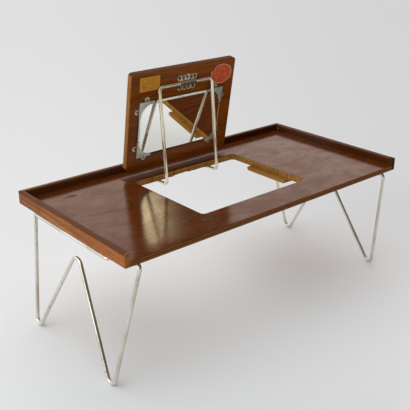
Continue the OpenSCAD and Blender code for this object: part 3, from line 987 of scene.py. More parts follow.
@dataclass
class WireSweep:
    """A round wire that is swept through corners with a bend at each, then mirrored.

    The first radius is that of a bend whose middle lies on the mirror plane. It is 0 for a
    straight or an end.
    """

    name: str
    corners: Sequence[Vector]
    radii: Sequence[float]
    radius: float
    mirror_axis: int
    capped: bool = False
    sides: int = 20
    bend_steps: int = 14

    def build(self) -> bpy.types.Object:
        """Sweeps the wire.

        Returns:
            The wire, as one closed skin.
        """
        start, facing = self._start()
        deselect()
        bpy.ops.mesh.primitive_circle_add(
            vertices=self.sides,
            radius=self.radius,
            fill_type="NGON" if self.capped else "NOTHING",
            location=start,
            rotation=facing.to_track_quat("Z", "Y").to_euler(),
        )
        wire = added(self.name)
        bpy.ops.object.transform_apply(location=True, rotation=True, scale=True)
        with editing(wire):
            if self.capped:
                bpy.ops.mesh.inset(thickness=self.radius * 0.25, depth=0.0)
                self._select_rim(wire, start)
            here = self._half_bend(start, facing) if self.radii[0] else start
            for index in range(1, len(self.corners)):
                here = self._leg(here, index)
        axes = [index == self.mirror_axis for index in range(3)]
        apply_modifier(wire, "MIRROR", use_axis=axes, use_mirror_merge=True, merge_threshold=1e-5)
        with editing(wire):
            bpy.ops.mesh.normals_make_consistent(inside=False)
        return settle(wire, 60.0)

    def _start(self) -> tuple[Vector, Vector]:
        """Finds where the sweep starts and which way it faces there.

        Returns:
            The middle of the first ring, and the wire's direction through it.
        """
        down = (self.corners[1] - self.corners[0]).normalized()
        if not self.radii[0]:
            return self.corners[0].copy(), down
        facing = Vector((0.0, 0.0, 0.0))
        facing[self.mirror_axis] = math.copysign(1.0, down[self.mirror_axis])
        inward = (down - facing * down.dot(facing)).normalized()
        depth = self.radii[0] * (1.0 / math.cos(down.angle(facing)) - 1.0)
        return self.corners[0] + inward * depth, facing

    def _half_bend(self, start: Vector, facing: Vector) -> Vector:
        """Sweeps the half of the first bend from the mirror plane to the first straight.

        Args:
            start: the middle of the first ring.
            facing: the wire's direction through it.

        Returns:
            Where the sweep is afterwards.
        """
        down = (self.corners[1] - self.corners[0]).normalized()
        inward = (down - facing * down.dot(facing)).normalized()
        turn = facing.angle(down)
        bpy.ops.mesh.spin(
            steps=self.bend_steps // 2,
            angle=-turn,
            center=start + inward * self.radii[0],
            axis=facing.cross(down).normalized(),
        )
        return self.corners[0] + down * self.radii[0] * math.tan(turn)

    def _select_rim(self, wire: bpy.types.Object, centre: Vector) -> None:
        """Selects only the outermost ring of the end cap.

        Args:
            wire: the wire, in edit mode.
            centre: the cap's middle.
        """
        inner = self.radius * 0.95
        bpy.ops.mesh.select_mode(type="VERT")
        shape = bmesh.from_edit_mesh(wire.data)
        for vert in shape.verts:
            vert.select = (vert.co - centre).length > inner
        shape.select_flush_mode()
        for face in shape.faces:
            face.select = False
        for edge in shape.edges:
            edge.select = all((vert.co - centre).length > inner for vert in edge.verts)
        bmesh.update_edit_mesh(wire.data)

    def _leg(self, here: Vector, index: int) -> Vector:
        """Sweeps one straight and the bend at its end.

        Args:
            here: where the sweep has come to.
            index: the corner that it goes to.

        Returns:
            Where the sweep is afterwards.
        """
        corner = self.corners[index]
        along = (corner - here).normalized()
        if index == len(self.corners) - 1:
            bpy.ops.mesh.extrude_edges_move(TRANSFORM_OT_translate={"value": corner - here})
            return corner
        onward = (self.corners[index + 1] - corner).normalized()
        turn = along.angle(onward)
        radius = self.radii[index]
        trim = radius * math.tan(turn / 2)
        start = corner - along * trim
        bpy.ops.mesh.extrude_edges_move(TRANSFORM_OT_translate={"value": start - here})
        axis = along.cross(onward).normalized()
        centre = start + axis.cross(along) * radius
        bpy.ops.mesh.spin(steps=self.bend_steps, angle=-turn, center=centre, axis=axis)
        return corner + onward * trim


# Sub-assemblies


@dataclass(frozen=True)
class TopMarks:
    """Where the marks on the top lie, in metres. A line is a, b and c of a·x + b·y + c = 0."""

    tone: Colour = (0.03, 0.011, 0.006)
    scuff: Point = (-0.2495, 0.1085, 0.2355)
    scuff_edge: Pair = (0.0065, 0.0135)
    scuff_tone: Colour = (0.035, 0.012, 0.006)
    split_line: Point = (0.32, 1.0, 0.0697)
    split_edge: Pair = (0.0002, 0.0010)
    split_rise: Pair = (-0.262, -0.240)
    split_fall: Pair = (-0.195, -0.172)
    seam_line: Point = (0.402, 0.916, -0.119)
    seam_edge: Pair = (0.0004, 0.0018)
    seam_rise: Pair = (0.180, 0.192)
    rubbed_front: Pair = (0.092, 0.096)
    rubbed_back: Pair = (0.116, 0.124)
    rubbed_left: Pair = (-0.141, -0.135)
    rubbed_right: Pair = (0.085, 0.125)


@dataclass(frozen=True)
class RailPlan:
    """A rail's wood, its grain, its box, and its marks of age and of painted light and shade."""

    wood: WoodFinish
    grain: Grain
    centre: Point
    half: Point
    marks: Marks


# Lit and shaded copies of one wood: the left rail lighter, partly from wear and partly as painted
# window light, the other two darker, partly darker wood and partly painted shade.
LIT_WORN_RAIL = WoodFinish(
    "lit_worn_rail",
    dark=(0.21, 0.055, 0.0085),
    middle=(0.33, 0.105, 0.018),
    light=(0.50, 0.195, 0.040),
    worn=(0.52, 0.23, 0.07),
    bands=1.6,
    warp=0.7,
    pores=0.4,
    coat=0.35,
    coat_rough=0.14,
    wear_width=1.6 * MM,
    wear=0.34,
)
SHADED = replace(
    LIT_WORN_RAIL,
    name="shaded_rail",
    dark=(0.045, 0.0105, 0.0018),
    middle=(0.070, 0.0175, 0.0030),
    light=(0.11, 0.032, 0.0065),
    worn=(0.11, 0.042, 0.013),
    coat=0.6,
    wear=0.22,
)


@dataclass
class Tray:
    """The board with its opening, its rails and its ledges."""

    effects: Effects
    half_width: float = 325.0 * MM
    half_depth: float = 163.5 * MM
    under: float = 223.5 * MM
    rail_top: float = 249.5 * MM
    rail: float = 10.0 * MM
    soft: float = 0.5 * MM
    back_wall: float = 95.0 * MM
    # A side face further out than this is the board's outer edge. The opening's walls lie within.
    rim: Pair = (300.0 * MM, 140.0 * MM)
    # Along the back wall, in millimetres: the place and how far up the plies are torn there.
    torn: tuple[Pair, ...] = (
        (-52.0, 0.0),
        (-45.0, 1.1),
        (-38.0, 0.9),
        (-34.0, 0.1),
        (-28.0, 2.2),
        (-18.0, 2.8),
        (-8.0, 3.2),
        (3.0, 3.7),
        (7.5, 2.8),
        (9.5, 0.3),
        (12.0, 2.2),
        (24.0, 1.2),
        (36.0, 1.7),
        (46.0, 1.8),
        (52.0, 0.0),
    )
    tear_step: float = 1.0
    tear_rise: float = 1.2
    tear_run: float = 1.6
    # A painted highlight: the light dot on a pin head in the far corner of the right rail.
    pin: Point = (0.315, 0.1505, 0.2405)

    def build(self) -> Iterable[bpy.types.Object]:
        """Makes the tray's pieces.

        Returns:
            The new pieces.
        """
        yield self.board()
        yield from self.rails()
        yield from self.ledges()

    def veneer(self) -> bpy.types.Material:
        """The lacquered veneer of the top, with its scuff, split, seam and rubbed strip."""
        at = TopMarks()

        def own_marks(g: Graph, place: Socket, colour: Socket) -> tuple[Socket, Socket]:
            """Draws the scuff near the left rail, the split, the seam and the rubbed strip."""
            x, y, _ = g.split(place)
            ragged = g.noise(place, 160.0, 3.0, 0.7)
            sway = g.swing(ragged, 0.004)

            def crack(line: Point, edge: Pair) -> Socket:
                """A fine wavering line across the top."""
                a, b, c = line
                off = g.math("ABSOLUTE", g.plus(g.times(x, a), g.times(y, b), c, sway))
                return g.fit(off, *edge, 1.0, 0.0)

            centred = g.vector("SUBTRACT", place, at.scuff)
            reach = g.vector("LENGTH", g.vector("MULTIPLY", centred, (1.0, 2.2, 0.0)))
            near = g.plus(reach, g.swing(ragged, 0.035))
            scuff = g.times(g.fit(near, *at.scuff_edge, 1.0, 0.0), 0.45)
            scuffed = g.mix(scuff, colour, at.scuff_tone)
            inside = g.within(x, at.split_rise, at.split_fall)
            split = g.times(crack(at.split_line, at.split_edge), inside, 0.7)
            seam = g.times(crack(at.seam_line, at.seam_edge), g.fit(x, *at.seam_rise), 0.35)
            cracks = g.most(split, seam)
            frayed = g.plus(y, g.swing(ragged, 0.012))
            behind = g.times(g.fit(frayed, *at.rubbed_back, 1.0, 0.0), g.fit(y, *at.rubbed_front))
            rubbed = g.times(behind, g.within(x, at.rubbed_left, at.rubbed_right), 0.85)
            dulled = g.most(cracks, g.math("MULTIPLY", scuff, 1.5, clamp=True), rubbed)
            return g.mix(cracks, scuffed, at.tone), dulled

        return SHEET.material(self.effects, own_marks)

    def board(self) -> bpy.types.Object:
        """The plywood board: veneer above, plain ply below, sawn or torn plies on its edges."""
        board = soften("tabletop", "top_board", self.soft)
        self.tear(board)
        plies = PlyEdgeFinish(
            "ply_edge",
            dark=(0.118, 0.035, 0.006),
            light=(0.31, 0.125, 0.028),
            base=self.under,
            coat=0.04,
            coat_rough=0.2,
        )
        walls = PlyEdgeFinish(
            "opening_wall",
            dark=(0.23, 0.098, 0.017),
            light=(0.58, 0.285, 0.058),
            base=self.under,
            coat=0.05,
            tear=0.25,
            sawn=0.6,
        )
        below = WoodFinish(
            "ply_underside",
            dark=(0.14, 0.066, 0.020),
            middle=(0.20, 0.105, 0.036),
            light=(0.28, 0.16, 0.060),
            rough=0.7,
            shine=0.15,
            coat=0.0,
            coat_rough=0.4,
            scratch=0.2,
        )
        finishes = [
            self.veneer(),
            below.material(self.effects),
            plies.material(self.effects),
            walls.material(self.effects),
        ]

        def choose(centre: Vector, normal: Vector) -> int:
            """Tells the top, the underside, the outer edge and the opening's walls apart."""
            front = centre.y < -self.half_depth + 5.0 * MM
            if normal.z > 0.35:
                return 0
            if normal.z < (-0.9 if front else -0.35):
                return 1
            outer = abs(centre.x) > self.rim[0] or abs(centre.y) > self.rim[1]
            return 2 if outer else 3

        dress_by_face(board, choose, finishes)
        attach(board, "table")
        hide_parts("tabletop")
        return board

    def tear(self, board: bpy.types.Object) -> None:
        """Tears splinters out of the lower edge of the opening's back wall.

        Args:
            board: the softened board.
        """
        first, last = self.torn[0][0], self.torn[-1][0]
        steps = round((last - first) / self.tear_step)
        step = Vector(((last - first) / steps * MM, 0.0, 0.0))
        deselect()
        bpy.ops.mesh.primitive_circle_add(
            vertices=4,
            radius=MM,
            fill_type="NGON",
            location=(first * MM, self.back_wall, self.under),
            rotation=(0.0, math.radians(90), 0.0),
        )
        wedge = bpy.context.object
        bpy.ops.object.transform_apply(location=True, rotation=True, scale=True)
        with editing(wedge):
            for _ in range(steps):
                bpy.ops.mesh.extrude_region_move(TRANSFORM_OT_translate={"value": step})
            bpy.ops.mesh.select_all(action="SELECT")
            bpy.ops.mesh.normals_make_consistent(inside=False)
        # The bar's upper edge goes up the wall and its back edge runs in under the board. The lower
        # and the front one stay clear of it.
        for vert in wedge.data.vertices:
            off = (vert.co - Vector((0.0, self.back_wall, self.under))) / MM
            depth = self.torn_depth(vert.co.x / MM)
            if off.z > 0.5:
                off.y, off.z = -1.0, 0.1 + self.tear_rise * depth
            elif off.z < -0.5:
                off.z = -2.0
            elif off.y > 0:
                off.y, off.z = 0.2 + self.tear_run * depth, -0.2
            else:
                off.y = -2.0
            vert.co.yz = self.back_wall + off.y * MM, self.under + off.z * MM
        apply_modifier(board, "BOOLEAN", operation="DIFFERENCE", solver="EXACT", object=wedge)
        bpy.data.meshes.remove(wedge.data)
        finish_shading(board)

    def torn_depth(self, x: float) -> float:
        """How far up the plies are torn, in millimetres, at a place along the back wall."""
        for (low, low_depth), (high, high_depth) in zip(self.torn, self.torn[1:]):
            if low <= x <= high:
                depth = low_depth + (high_depth - low_depth) * (x - low) / (high - low)
                ripple = 0.16 * math.sin(2.9 * x) + 0.12 * math.sin(1.3 * x + 1.0)
                return depth * (1.0 + ripple)
        return 0.0

    def rails(self) -> Iterable[bpy.types.Object]:
        """The three rails, each with its grain along its own length."""
        mid_x, mid_y = self.half_width - self.rail / 2, self.half_depth - self.rail / 2
        mid_z, half_z = (self.under + self.rail_top) / 2, (self.rail_top - self.under) / 2
        side = (self.rail / 2, self.half_depth, half_z)
        back = (self.half_width, self.rail / 2, half_z)
        left, right, back_mid = (-mid_x, 0.0, mid_z), (mid_x, 0.0, mid_z), (0.0, mid_y, mid_z)
        plans = {
            "rail_left": RailPlan(LIT_WORN_RAIL, Grain.ALONG_Y, left, side, self._lit_rail_marks),
            "rail_right": RailPlan(SHADED, Grain.ALONG_Y, right, side, self._end_marks),
            "rail_back": RailPlan(SHADED, Grain.ALONG_X, back_mid, back, self._painted_window_light),
        }
        for node, plan in plans.items():
            rail = soften(node, node + "_wood", 0.4 * MM)
            name = node + "_finish"
            finish = replace(
                plan.wood, name=name, grain=plan.grain, centre=plan.centre, half=plan.half
            )
            dress(rail, finish.material(self.effects, plan.marks))
            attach(rail, "table")
            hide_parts(node)
            yield rail

    def _lit_rail_marks(self, g: Graph, place: Socket, colour: Socket) -> tuple[Socket, float]:
        """Paints shade on the left rail's top and inner side, darkens it towards its far end, and
        mottles the rest.
        """
        x, y, z = g.split(place)
        side, front = -self.half_width, -self.half_depth
        ragged = g.noise(place, 45.0, 4.0, 0.65)
        speckle = g.noise(place, (420.0, 160.0, 420.0), 4.0, 0.7)
        edge = g.swing(ragged, 0.005)
        high = g.fit(g.plus(z, edge), self.rail_top - 5.0 * MM, self.rail_top - 3.2 * MM)
        inside = g.fit(g.plus(x, edge), side + 2.0 * MM, side + 3.5 * MM)
        frontal = g.fit(y, front + 1.0 * MM, front + 3.0 * MM)
        # Painted shade: the rail's top and inner side are kept dark, unlike its lit outer face.
        kept = g.times(g.most(high, inside), frontal, 0.85)
        far = g.times(g.fit(g.plus(y, g.times(edge, 20.0)), -0.02, 0.16), 0.45)
        mottled = g.mix(g.times(g.fit(speckle, 0.44, 0.58), 0.55), colour, (0.17, 0.046, 0.008))
        return g.mix(g.most(kept, far), mottled, (0.065, 0.015, 0.0025)), 0.0

    def _end_marks(self, g: Graph, place: Socket, colour: Socket) -> tuple[Socket, Socket]:
        """Dulls and darkens the right rail's front end, and paints a highlight on a pin head in its
        far corner.
        """
        _, y, _ = g.split(place)
        worn = g.fit(y, -self.half_depth + 14.0 * MM, -self.half_depth + 5.0 * MM)
        ended = g.mix(g.times(worn, 0.8), colour, (0.060, 0.028, 0.012))
        pin = g.vector("DISTANCE", place, self.pin)
        # Painted highlight: a light dot where a pin head in the far corner catches the light.
        return g.mix(g.fit(pin, 1.4 * MM, 1.0 * MM), ended, (0.72, 0.62, 0.50)), worn

    def _painted_window_light(self, g: Graph, place: Socket, colour: Socket) -> tuple[Socket, float]:
        """Paints window light on the back rail, lighter towards its left end."""
        x, _, _ = g.split(place)
        # Painted light from the window: the rail turns lighter towards the left.
        return g.mix(g.fit(x, 0.05, -0.30, 0.0, 0.6), colour, (0.20, 0.066, 0.024)), 0.0

    def ledges(self) -> Iterable[bpy.types.Object]:
        """The two ledges, of plain light wood."""
        finish = WoodFinish(
            "ledge_finish",
            dark=(0.19, 0.080, 0.014),
            middle=(0.31, 0.145, 0.028),
            light=(0.44, 0.22, 0.048),
            worn=(0.42, 0.27, 0.11),
            grain=Grain.ALONG_Y,
            bands=1.3,
            rough=0.65,
            shine=0.1,
            coat=0.0,
        ).material(self.effects)
        for node in ("ledge_left", "ledge_right"):
            ledge = soften(node, node + "_block", 0.8 * MM)
            dress(ledge, finish)
            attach(ledge, "table")
            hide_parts(node)
            yield ledge


@dataclass
class Hardware:
    """The saddles and the screws."""

    effects: Effects

    def build(self) -> Iterable[bpy.types.Object]:
        """Makes the saddles and dresses the screws.

        Returns:
            The new pieces.
        """
        sheet = MetalFinish(
            "zinc_sheet",
            bright=(0.46, 0.46, 0.42),
            dull=(0.30, 0.30, 0.26),
            rough=0.34,
            rough_dull=0.5,
            size=2.0,
            rusty=0.4,
        ).material(self.effects)
        corners = ("left_front", "left_back", "right_front", "right_back")
        names = [f"leg_saddle_{corner}" for corner in corners]
        for node in [*names, "bail_saddle_left", "bail_saddle_right"]:
            saddle = soften(node, node + "_strap", 0.25 * MM)
            dress(saddle, sheet)
            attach(saddle, "table")
            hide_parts(node)
            yield saddle
        screw = MetalFinish(
            "worn_screw",
            bright=(0.55, 0.52, 0.44),
            dull=(0.28, 0.25, 0.2),
            rough=0.28,
            rough_dull=0.5,
            size=4.0,
            rusty=0.9,
        )
        rusted = replace(
            screw,
            name="rusted_screw",
            bright=(0.22, 0.17, 0.11),
            dull=(0.10, 0.07, 0.04),
            rough=0.35,
            rough_dull=0.6,
            rusty=1.2,
        )
        screws = {
            screw: ("ledge_screws", "saddle_screws"),
            rusted: ("mirror_clip_screws", "keeper_screws"),
        }
        for finish, nodes in screws.items():
            material = finish.material(self.effects)
            for node in nodes:
                dress(frame["nodes"][node], material)


@dataclass
class BentWire:
    """The two leg frames and the bail, in millimetres but for the wire's radius in metres."""

    effects: Effects
    wire: float = 3.235 * MM
    foot_gap: float = 0.015
    hinge_x: float = 295.0
    stop_x: float = 321.0
    wire_z: float = 220.15
    elbow_y: float = 160.25
    stub: float = 26.5
    foot: Pair = (334.0, 122.5)
    peak: Pair = (308.0, 189.0)
    elbow_r: float = 8.0
    foot_r: float = 10.0
    peak_r: float = 15.0
    bail_half: float = 63.0
    bail_pin: float = 26.0
    pivot_y: float = 116.0
    bail_elbow_y: float = 75.0
    bail_r: float = 8.0
    # The way faced by the side that is painted brown in shade, away from the window.
    shaded_side: Point = (0.92, -0.38, -0.1)

    def build(self) -> Iterable[bpy.types.Object]:
        """Makes the three wires.

        Returns:
            The new pieces.
        """
        plate = MetalFinish(
            "dulled_plate",
            bright=(0.76, 0.735, 0.68),
            dull=(0.56, 0.51, 0.43),
            rough=0.10,
            rough_dull=0.17,
            size=0.6,
            rusty=0.30,
            shaded_brown=0.85,
            brown=(0.46, 0.30, 0.165),
            metal=0.84,
        ).material(self.effects)
        for side in Side:
            word = side.name.lower()
            leg = self.leg(side)
            self.paint_shaded_side(leg)
            dress(leg, plate)
            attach(leg, "leg_" + word)
            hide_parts("leg_frame_" + word)
            yield leg
        cream = MetalFinish(
            "yellowed_plate",
            bright=(0.88, 0.84, 0.68),
            dull=(0.72, 0.65, 0.46),
            rough=0.09,
            rough_dull=0.17,
            size=0.6,
            rusty=0.25,
            shaded_brown=0.30,
            metal=0.76,
        ).material(self.effects)
        bail = self.bail()
        self.paint_shaded_side(bail)
        dress(bail, cream)
        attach(bail, "bail")
        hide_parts("bail_wire_frame")
        yield bail

    def paint_shaded_side(self, wire: bpy.types.Object) -> None:
        """Notes on each vertex how far it faces away from the window: there the brown is drawn,
        partly tarnish and partly painted shade.
        """
        shaded_brown = Vector(self.shaded_side).normalized()
        patina = wire.data.attributes.new("patina", "FLOAT", "POINT")
        for vert in wire.data.vertices:
            patina.data[vert.index].value = max(0.0, vert.normal.dot(shaded_brown))

    def foot_z(self) -> float:
        """The height, in millimetres, of the foot's corner that sets its bend on the floor."""
        height = -10.0
        for _ in range(8):
            a = Vector((self.hinge_x, self.elbow_y, self.wire_z))
            b = Vector((*self.foot, height))
            c = Vector((self.peak[0], 0.0, self.peak[1]))
            along, onward = (b - a).normalized(), (c - b).normalized()
            side = (onward - along * along.dot(onward)).normalized()
            trim = along * self.foot_r * math.tan(along.angle(onward) / 2)
            centre = b - trim + side * self.foot_r
            lowest = centre.z - self.foot_r * math.sqrt(1 - along.cross(side).z ** 2)
            height += self.foot_gap + self.wire / MM - lowest
        return height

    def leg(self, side: Side) -> bpy.types.Object:
        """One leg frame: half is swept from its peak to its stop bar, and mirrored front to back.

        Args:
            side: the end of the table.

        Returns:
            The wire.
        """
        s = side.value
        stop_y = self.elbow_y - self.stub - (self.stop_x - self.hinge_x)
        corners = [
            Vector((s * self.peak[0], 0.0, self.peak[1])),
            Vector((s * self.foot[0], self.foot[1], self.foot_z())),
            Vector((s * self.hinge_x, self.elbow_y, self.wire_z)),
            Vector((s * self.hinge_x, self.elbow_y - self.stub, self.wire_z)),
            Vector((s * self.stop_x, stop_y, self.wire_z)),
            Vector((s * self.stop_x, 0.0, self.wire_z)),
        ]
        radii = (self.peak_r, self.foot_r, self.elbow_r, self.elbow_r, self.elbow_r, 0.0)
        name = f"leg_wire_{side.name.lower()}"
        return WireSweep(
            name, [c * MM for c in corners], [r * MM for r in radii], self.wire, mirror_axis=1
        ).build()

    def bail(self) -> bpy.types.Object:
        """The bail: half is swept from a pin's end to the middle of the crossbar, and mirrored."""
        bar = crossbar() / MM
        corners = [
            Vector((self.bail_half - self.bail_pin, self.pivot_y, self.wire_z)),
            Vector((self.bail_half, self.pivot_y, self.wire_z)),
            Vector((self.bail_half, self.bail_elbow_y, self.wire_z)),
            Vector((self.bail_half, bar.y, bar.z)),
            Vector((0.0, bar.y, bar.z)),
        ]
        radii = [0.0, *[self.bail_r * MM] * 3, 0.0]
        return WireSweep(
            "bail_wire", [c * MM for c in corners], radii, self.wire, mirror_axis=0, capped=True
        ).build()


@dataclass
class FlapPanel:
    """The panel with its mirror, clips, keeper and paper labels, in millimetres."""

    effects: Effects
    place: PanelFrame
    half_width: float = 124.5
    top_edge: float = 33.0
    height: float = 193.0
    thick: float = 11.7
    mirror_half: Pair = (99.0, 54.5)
    mirror_x: float = -5.0
    mirror_top: float = -24.0
    keeper_x: float = 4.0
    paper_thick: float = 0.14

    def build(self) -> Iterable[bpy.types.Object]:
        """Makes the panel's pieces.

        Returns:
            The new pieces.
        """
        yield self.panel()
        yield from self.clips()
        yield self.keeper()
        yield self.yellow_label()
        yield self.red_seal()
        self.dress_mirror()

    def centre(self) -> Point:
        """The middle of the panel's thickness, in the table's frame."""
        return tuple(self.place.at(0.0, self.top_edge - self.height / 2, -self.thick / 2))

    def panel(self) -> bpy.types.Object:
        """The panel: dark veneer on both faces and sawn plies on its edges."""
        panel = soften("flap_panel", "panel_board", 0.3 * MM)
        centre, out = self.centre(), self.place.out()
        half = (self.half_width * MM, self.height / 2 * MM, self.thick / 2 * MM)
        face = WoodFinish(
            "panel_face",
            dark=(0.185, 0.044, 0.0046),
            middle=(0.250, 0.064, 0.0070),
            light=(0.310, 0.088, 0.0108),
            worn=(0.46, 0.21, 0.065),
            centre=centre,
            tilt=self.place.tilt(),
            half=half,
            wear_width=1.6 * MM,
            wear=0.32,
            bands=1.1,
            warp=1.6,
            coat=0.3,
            coat_rough=0.16,
            patchy=0.4,
        ).material(self.effects)
        # The shift lets the back's figure run on from that of the top.
        back = replace(
            SHEET,
            name="panel_back",
            centre=centre,
            tilt=self.place.tilt() + 180.0,
            shift=(0.0, -6.0 * MM, (235.5 - self.thick / 2) * MM),
            half=half,
            wear=0.25,
        ).material(self.effects)
        edge = PlyEdgeFinish(
            "panel_edge",
            dark=(0.20, 0.078, 0.017),
            light=(0.44, 0.20, 0.055),
            face=(0.16, 0.055, 0.012),
            thick=self.thick * MM,
            axis=tuple(-out),
            base=-self.place.origin.dot(out),
            coat=0.1,
            tear=0.3,
        )
        plies = edge.material(self.effects)
        stained = replace(
            edge,
            name="panel_top_edge",
            dark=(0.050, 0.018, 0.004),
            light=(0.17, 0.062, 0.016),
            face=(0.035, 0.011, 0.003),
            coat=0.15,
            tear=0.6,
        ).material(self.effects)

        def choose(_: Vector, normal: Vector) -> int:
            """Tells the two faces, the bare edges and the stained top edge apart."""
            if abs(normal.dot(out)) > 0.6:
                return 0 if normal.dot(out) > 0 else 3
            return 2 if normal.z > 0.5 else 1

        dress_by_face(panel, choose, [face, plies, stained, back])
        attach(panel, "panel")
        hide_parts("flap_panel")
        return panel

    def dress_mirror(self) -> None:
        """Gives the mirror's glass its silver."""
        centre = self.place.at(self.mirror_x, self.mirror_top - self.mirror_half[1])
        finish = MirrorFinish(
            "silvered_glass",
            centre=tuple(centre),
            tilt=self.place.tilt(),
            half=(self.mirror_half[0] * MM, self.mirror_half[1] * MM),
        )
        dress(frame["nodes"]["mirror_glass"], finish.material(self.effects))

    def clips(self) -> Iterable[bpy.types.Object]:
        """The four stamped corner clips."""
        zinc = MetalFinish(
            "clip_zinc",
            bright=(0.66, 0.67, 0.56),
            dull=(0.46, 0.47, 0.37),
            rough=0.30,
            rough_dull=0.48,
            size=2.2,
            rusty=0.55,
        ).material(self.effects)
        for corner in ("top_left", "top_right", "bottom_left", "bottom_right"):
            clip = soften("mirror_clip_" + corner, "corner_clip_" + corner, 0.28 * MM, 3)
            dress(clip, zinc)
            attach(clip, "panel")
            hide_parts("mirror_clip_" + corner)
            yield clip

    def keeper(self) -> bpy.types.Object:
        """The stamped keeper over the crossbar."""
        upper = ((-17.9, 9.5), (-8.95, 9.0), (0.0, 10.4), (8.95, 9.0), (17.9, 9.5))
        lower = ((-15.55, -9.5), (-5.2, -9.5), (5.2, -9.5), (15.55, -9.5))
        nickel = StampedFinish(
            "keeper_plate",
            bright=(0.90, 0.80, 0.60),
            dull=(0.42, 0.34, 0.21),
            rough=0.18,
            rough_dull=0.34,
            size=3.0,
            rusty=0.6,
            lobes=tuple((x * MM, y * MM) for x, y in upper + lower),
            centre=tuple(self.place.at(self.keeper_x, 0.0)),
            tilt=self.place.tilt(),
        ).material(self.effects)
        keeper = soften("keeper_clip", "keeper_stamping", 0.3 * MM, 3)
        dress(keeper, nickel)
        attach(keeper, "panel")
        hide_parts("keeper_clip")
        return keeper

    def yellow_label(self) -> bpy.types.Object:
        """The blank yellow paper label at the panel's upper left."""
        middle, half = (-82.4, 9.5), (22.1, 13.2)
        paper = PaperFinish(
            "yellow_paper",
            colour=(0.66, 0.28, 0.018),
            faded=(0.80, 0.39, 0.036),
            blot=(0.31, 0.110, 0.008),
            rim=(0.78, 0.41, 0.055),
            centre=tuple(self.place.at(*middle)),
            tilt=self.place.tilt(),
        ).material(self.effects)
        deselect()
        bpy.ops.mesh.primitive_grid_add(x_subdivisions=22, y_subdivisions=14, size=1.0)
        label = added("label_yellow")

        def shape(vert: bpy.types.MeshVertex) -> tuple[Vector, float]:
            """Gives a vertex its place on the panel and its reach."""
            u, v = vert.co.x * 2, vert.co.y * 2
            ragged = 0.25 * math.sin(9.0 * u + 2.0 * v) + 0.18 * math.sin(17.0 * v - 5.0 * u)
            lift = 0.10 + 0.05 * (1 + math.sin(5 * u) * math.cos(4 * v))
            lift += 0.5 * max(0.0, u * v - 0.72)
            x = middle[0] + u * half[0] + (ragged if abs(u) > 0.99 else 0.0)
            y = middle[1] + v * half[1] + (ragged * 0.6 if abs(v) > 0.99 else 0.0)
            return self.place.at(x, y, lift), max(abs(u), abs(v))

        return self._finish_label(label, shape, paper)

    def red_seal(self) -> bpy.types.Object:
        """The blank red paper seal at the panel's upper right: an oval with a torn step."""
        middle, half = (90.5, 3.3), (26.3, 19.6)
        tear_start, tear_end, tear_depth = 125.0, 153.0, 0.2
        scallops, scallop_depth = 24, 0.012
        paper = PaperFinish(
            "red_paper",
            colour=(0.62, 0.058, 0.004),
            faded=(0.70, 0.085, 0.012),
            blot=(0.86, 0.36, 0.15),
            rim=(0.84, 0.47, 0.22),
            rim_start=0.925,
            centre=tuple(self.place.at(*middle)),
            tilt=self.place.tilt(),
        ).material(self.effects)
        deselect()
        bpy.ops.mesh.primitive_circle_add(vertices=120, radius=1.0, fill_type="TRIFAN")
        seal = added("seal_red")
        with editing(seal):
            bpy.ops.mesh.subdivide(number_cuts=5)

        def shape(vert: bpy.types.MeshVertex) -> tuple[Vector, float]:
            """Gives a vertex its place on the panel and its reach."""
            reach = vert.co.xy.length
            angle = math.degrees(math.atan2(vert.co.y, vert.co.x)) % 360
            torn = 0.0
            if tear_start < angle < tear_end:
                torn = tear_depth * (angle - tear_start) / (tear_end - tear_start)
            scallop = scallop_depth * math.cos(math.radians(angle) * scallops)
            scale = 1.0 - torn + scallop
            lift = 0.10 + 0.06 * (1 + math.sin(6 * vert.co.x) * math.cos(5 * vert.co.y))
            x = middle[0] + vert.co.x * scale * half[0]
            y = middle[1] + vert.co.y * scale * half[1]
            return self.place.at(x, y, lift), reach

        return self._finish_label(seal, shape, paper)

    def _finish_label(
        self,
        label: bpy.types.Object,
        shape: Callable[[bpy.types.MeshVertex], tuple[Vector, float]],
        paper: bpy.types.Material,
    ) -> bpy.types.Object:
        """Shapes, thickens and dresses a label, and fixes it to the panel.

        Args:
            label: the flat label, in a square of its own.
            shape: gives each vertex its place and how far out it lies, 1 at the rim.
            paper: its material.

        Returns:
            The finished label.
        """
        reach = label.data.attributes.new("reach", "FLOAT", "POINT")
        for vert in label.data.vertices:
            vert.co, reach.data[vert.index].value = shape(vert)
        with editing(label):
            bpy.ops.mesh.remove_doubles(threshold=1e-7)
        if label.data.polygons[0].normal.dot(self.place.out()) < 0:
            label.data.flip_normals()
        apply_modifier(label, "SOLIDIFY", thickness=self.paper_thick * MM, offset=-1.0)
        settle(label, 40.0)
        dress(label, paper)
        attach(label, "panel")
        return label


@dataclass(frozen=True)
class Glow:
    """A bright side of the room, from the cosine at which it starts to that at which it is full."""

    way: Point
    colour: Colour
    start: float
    full: float


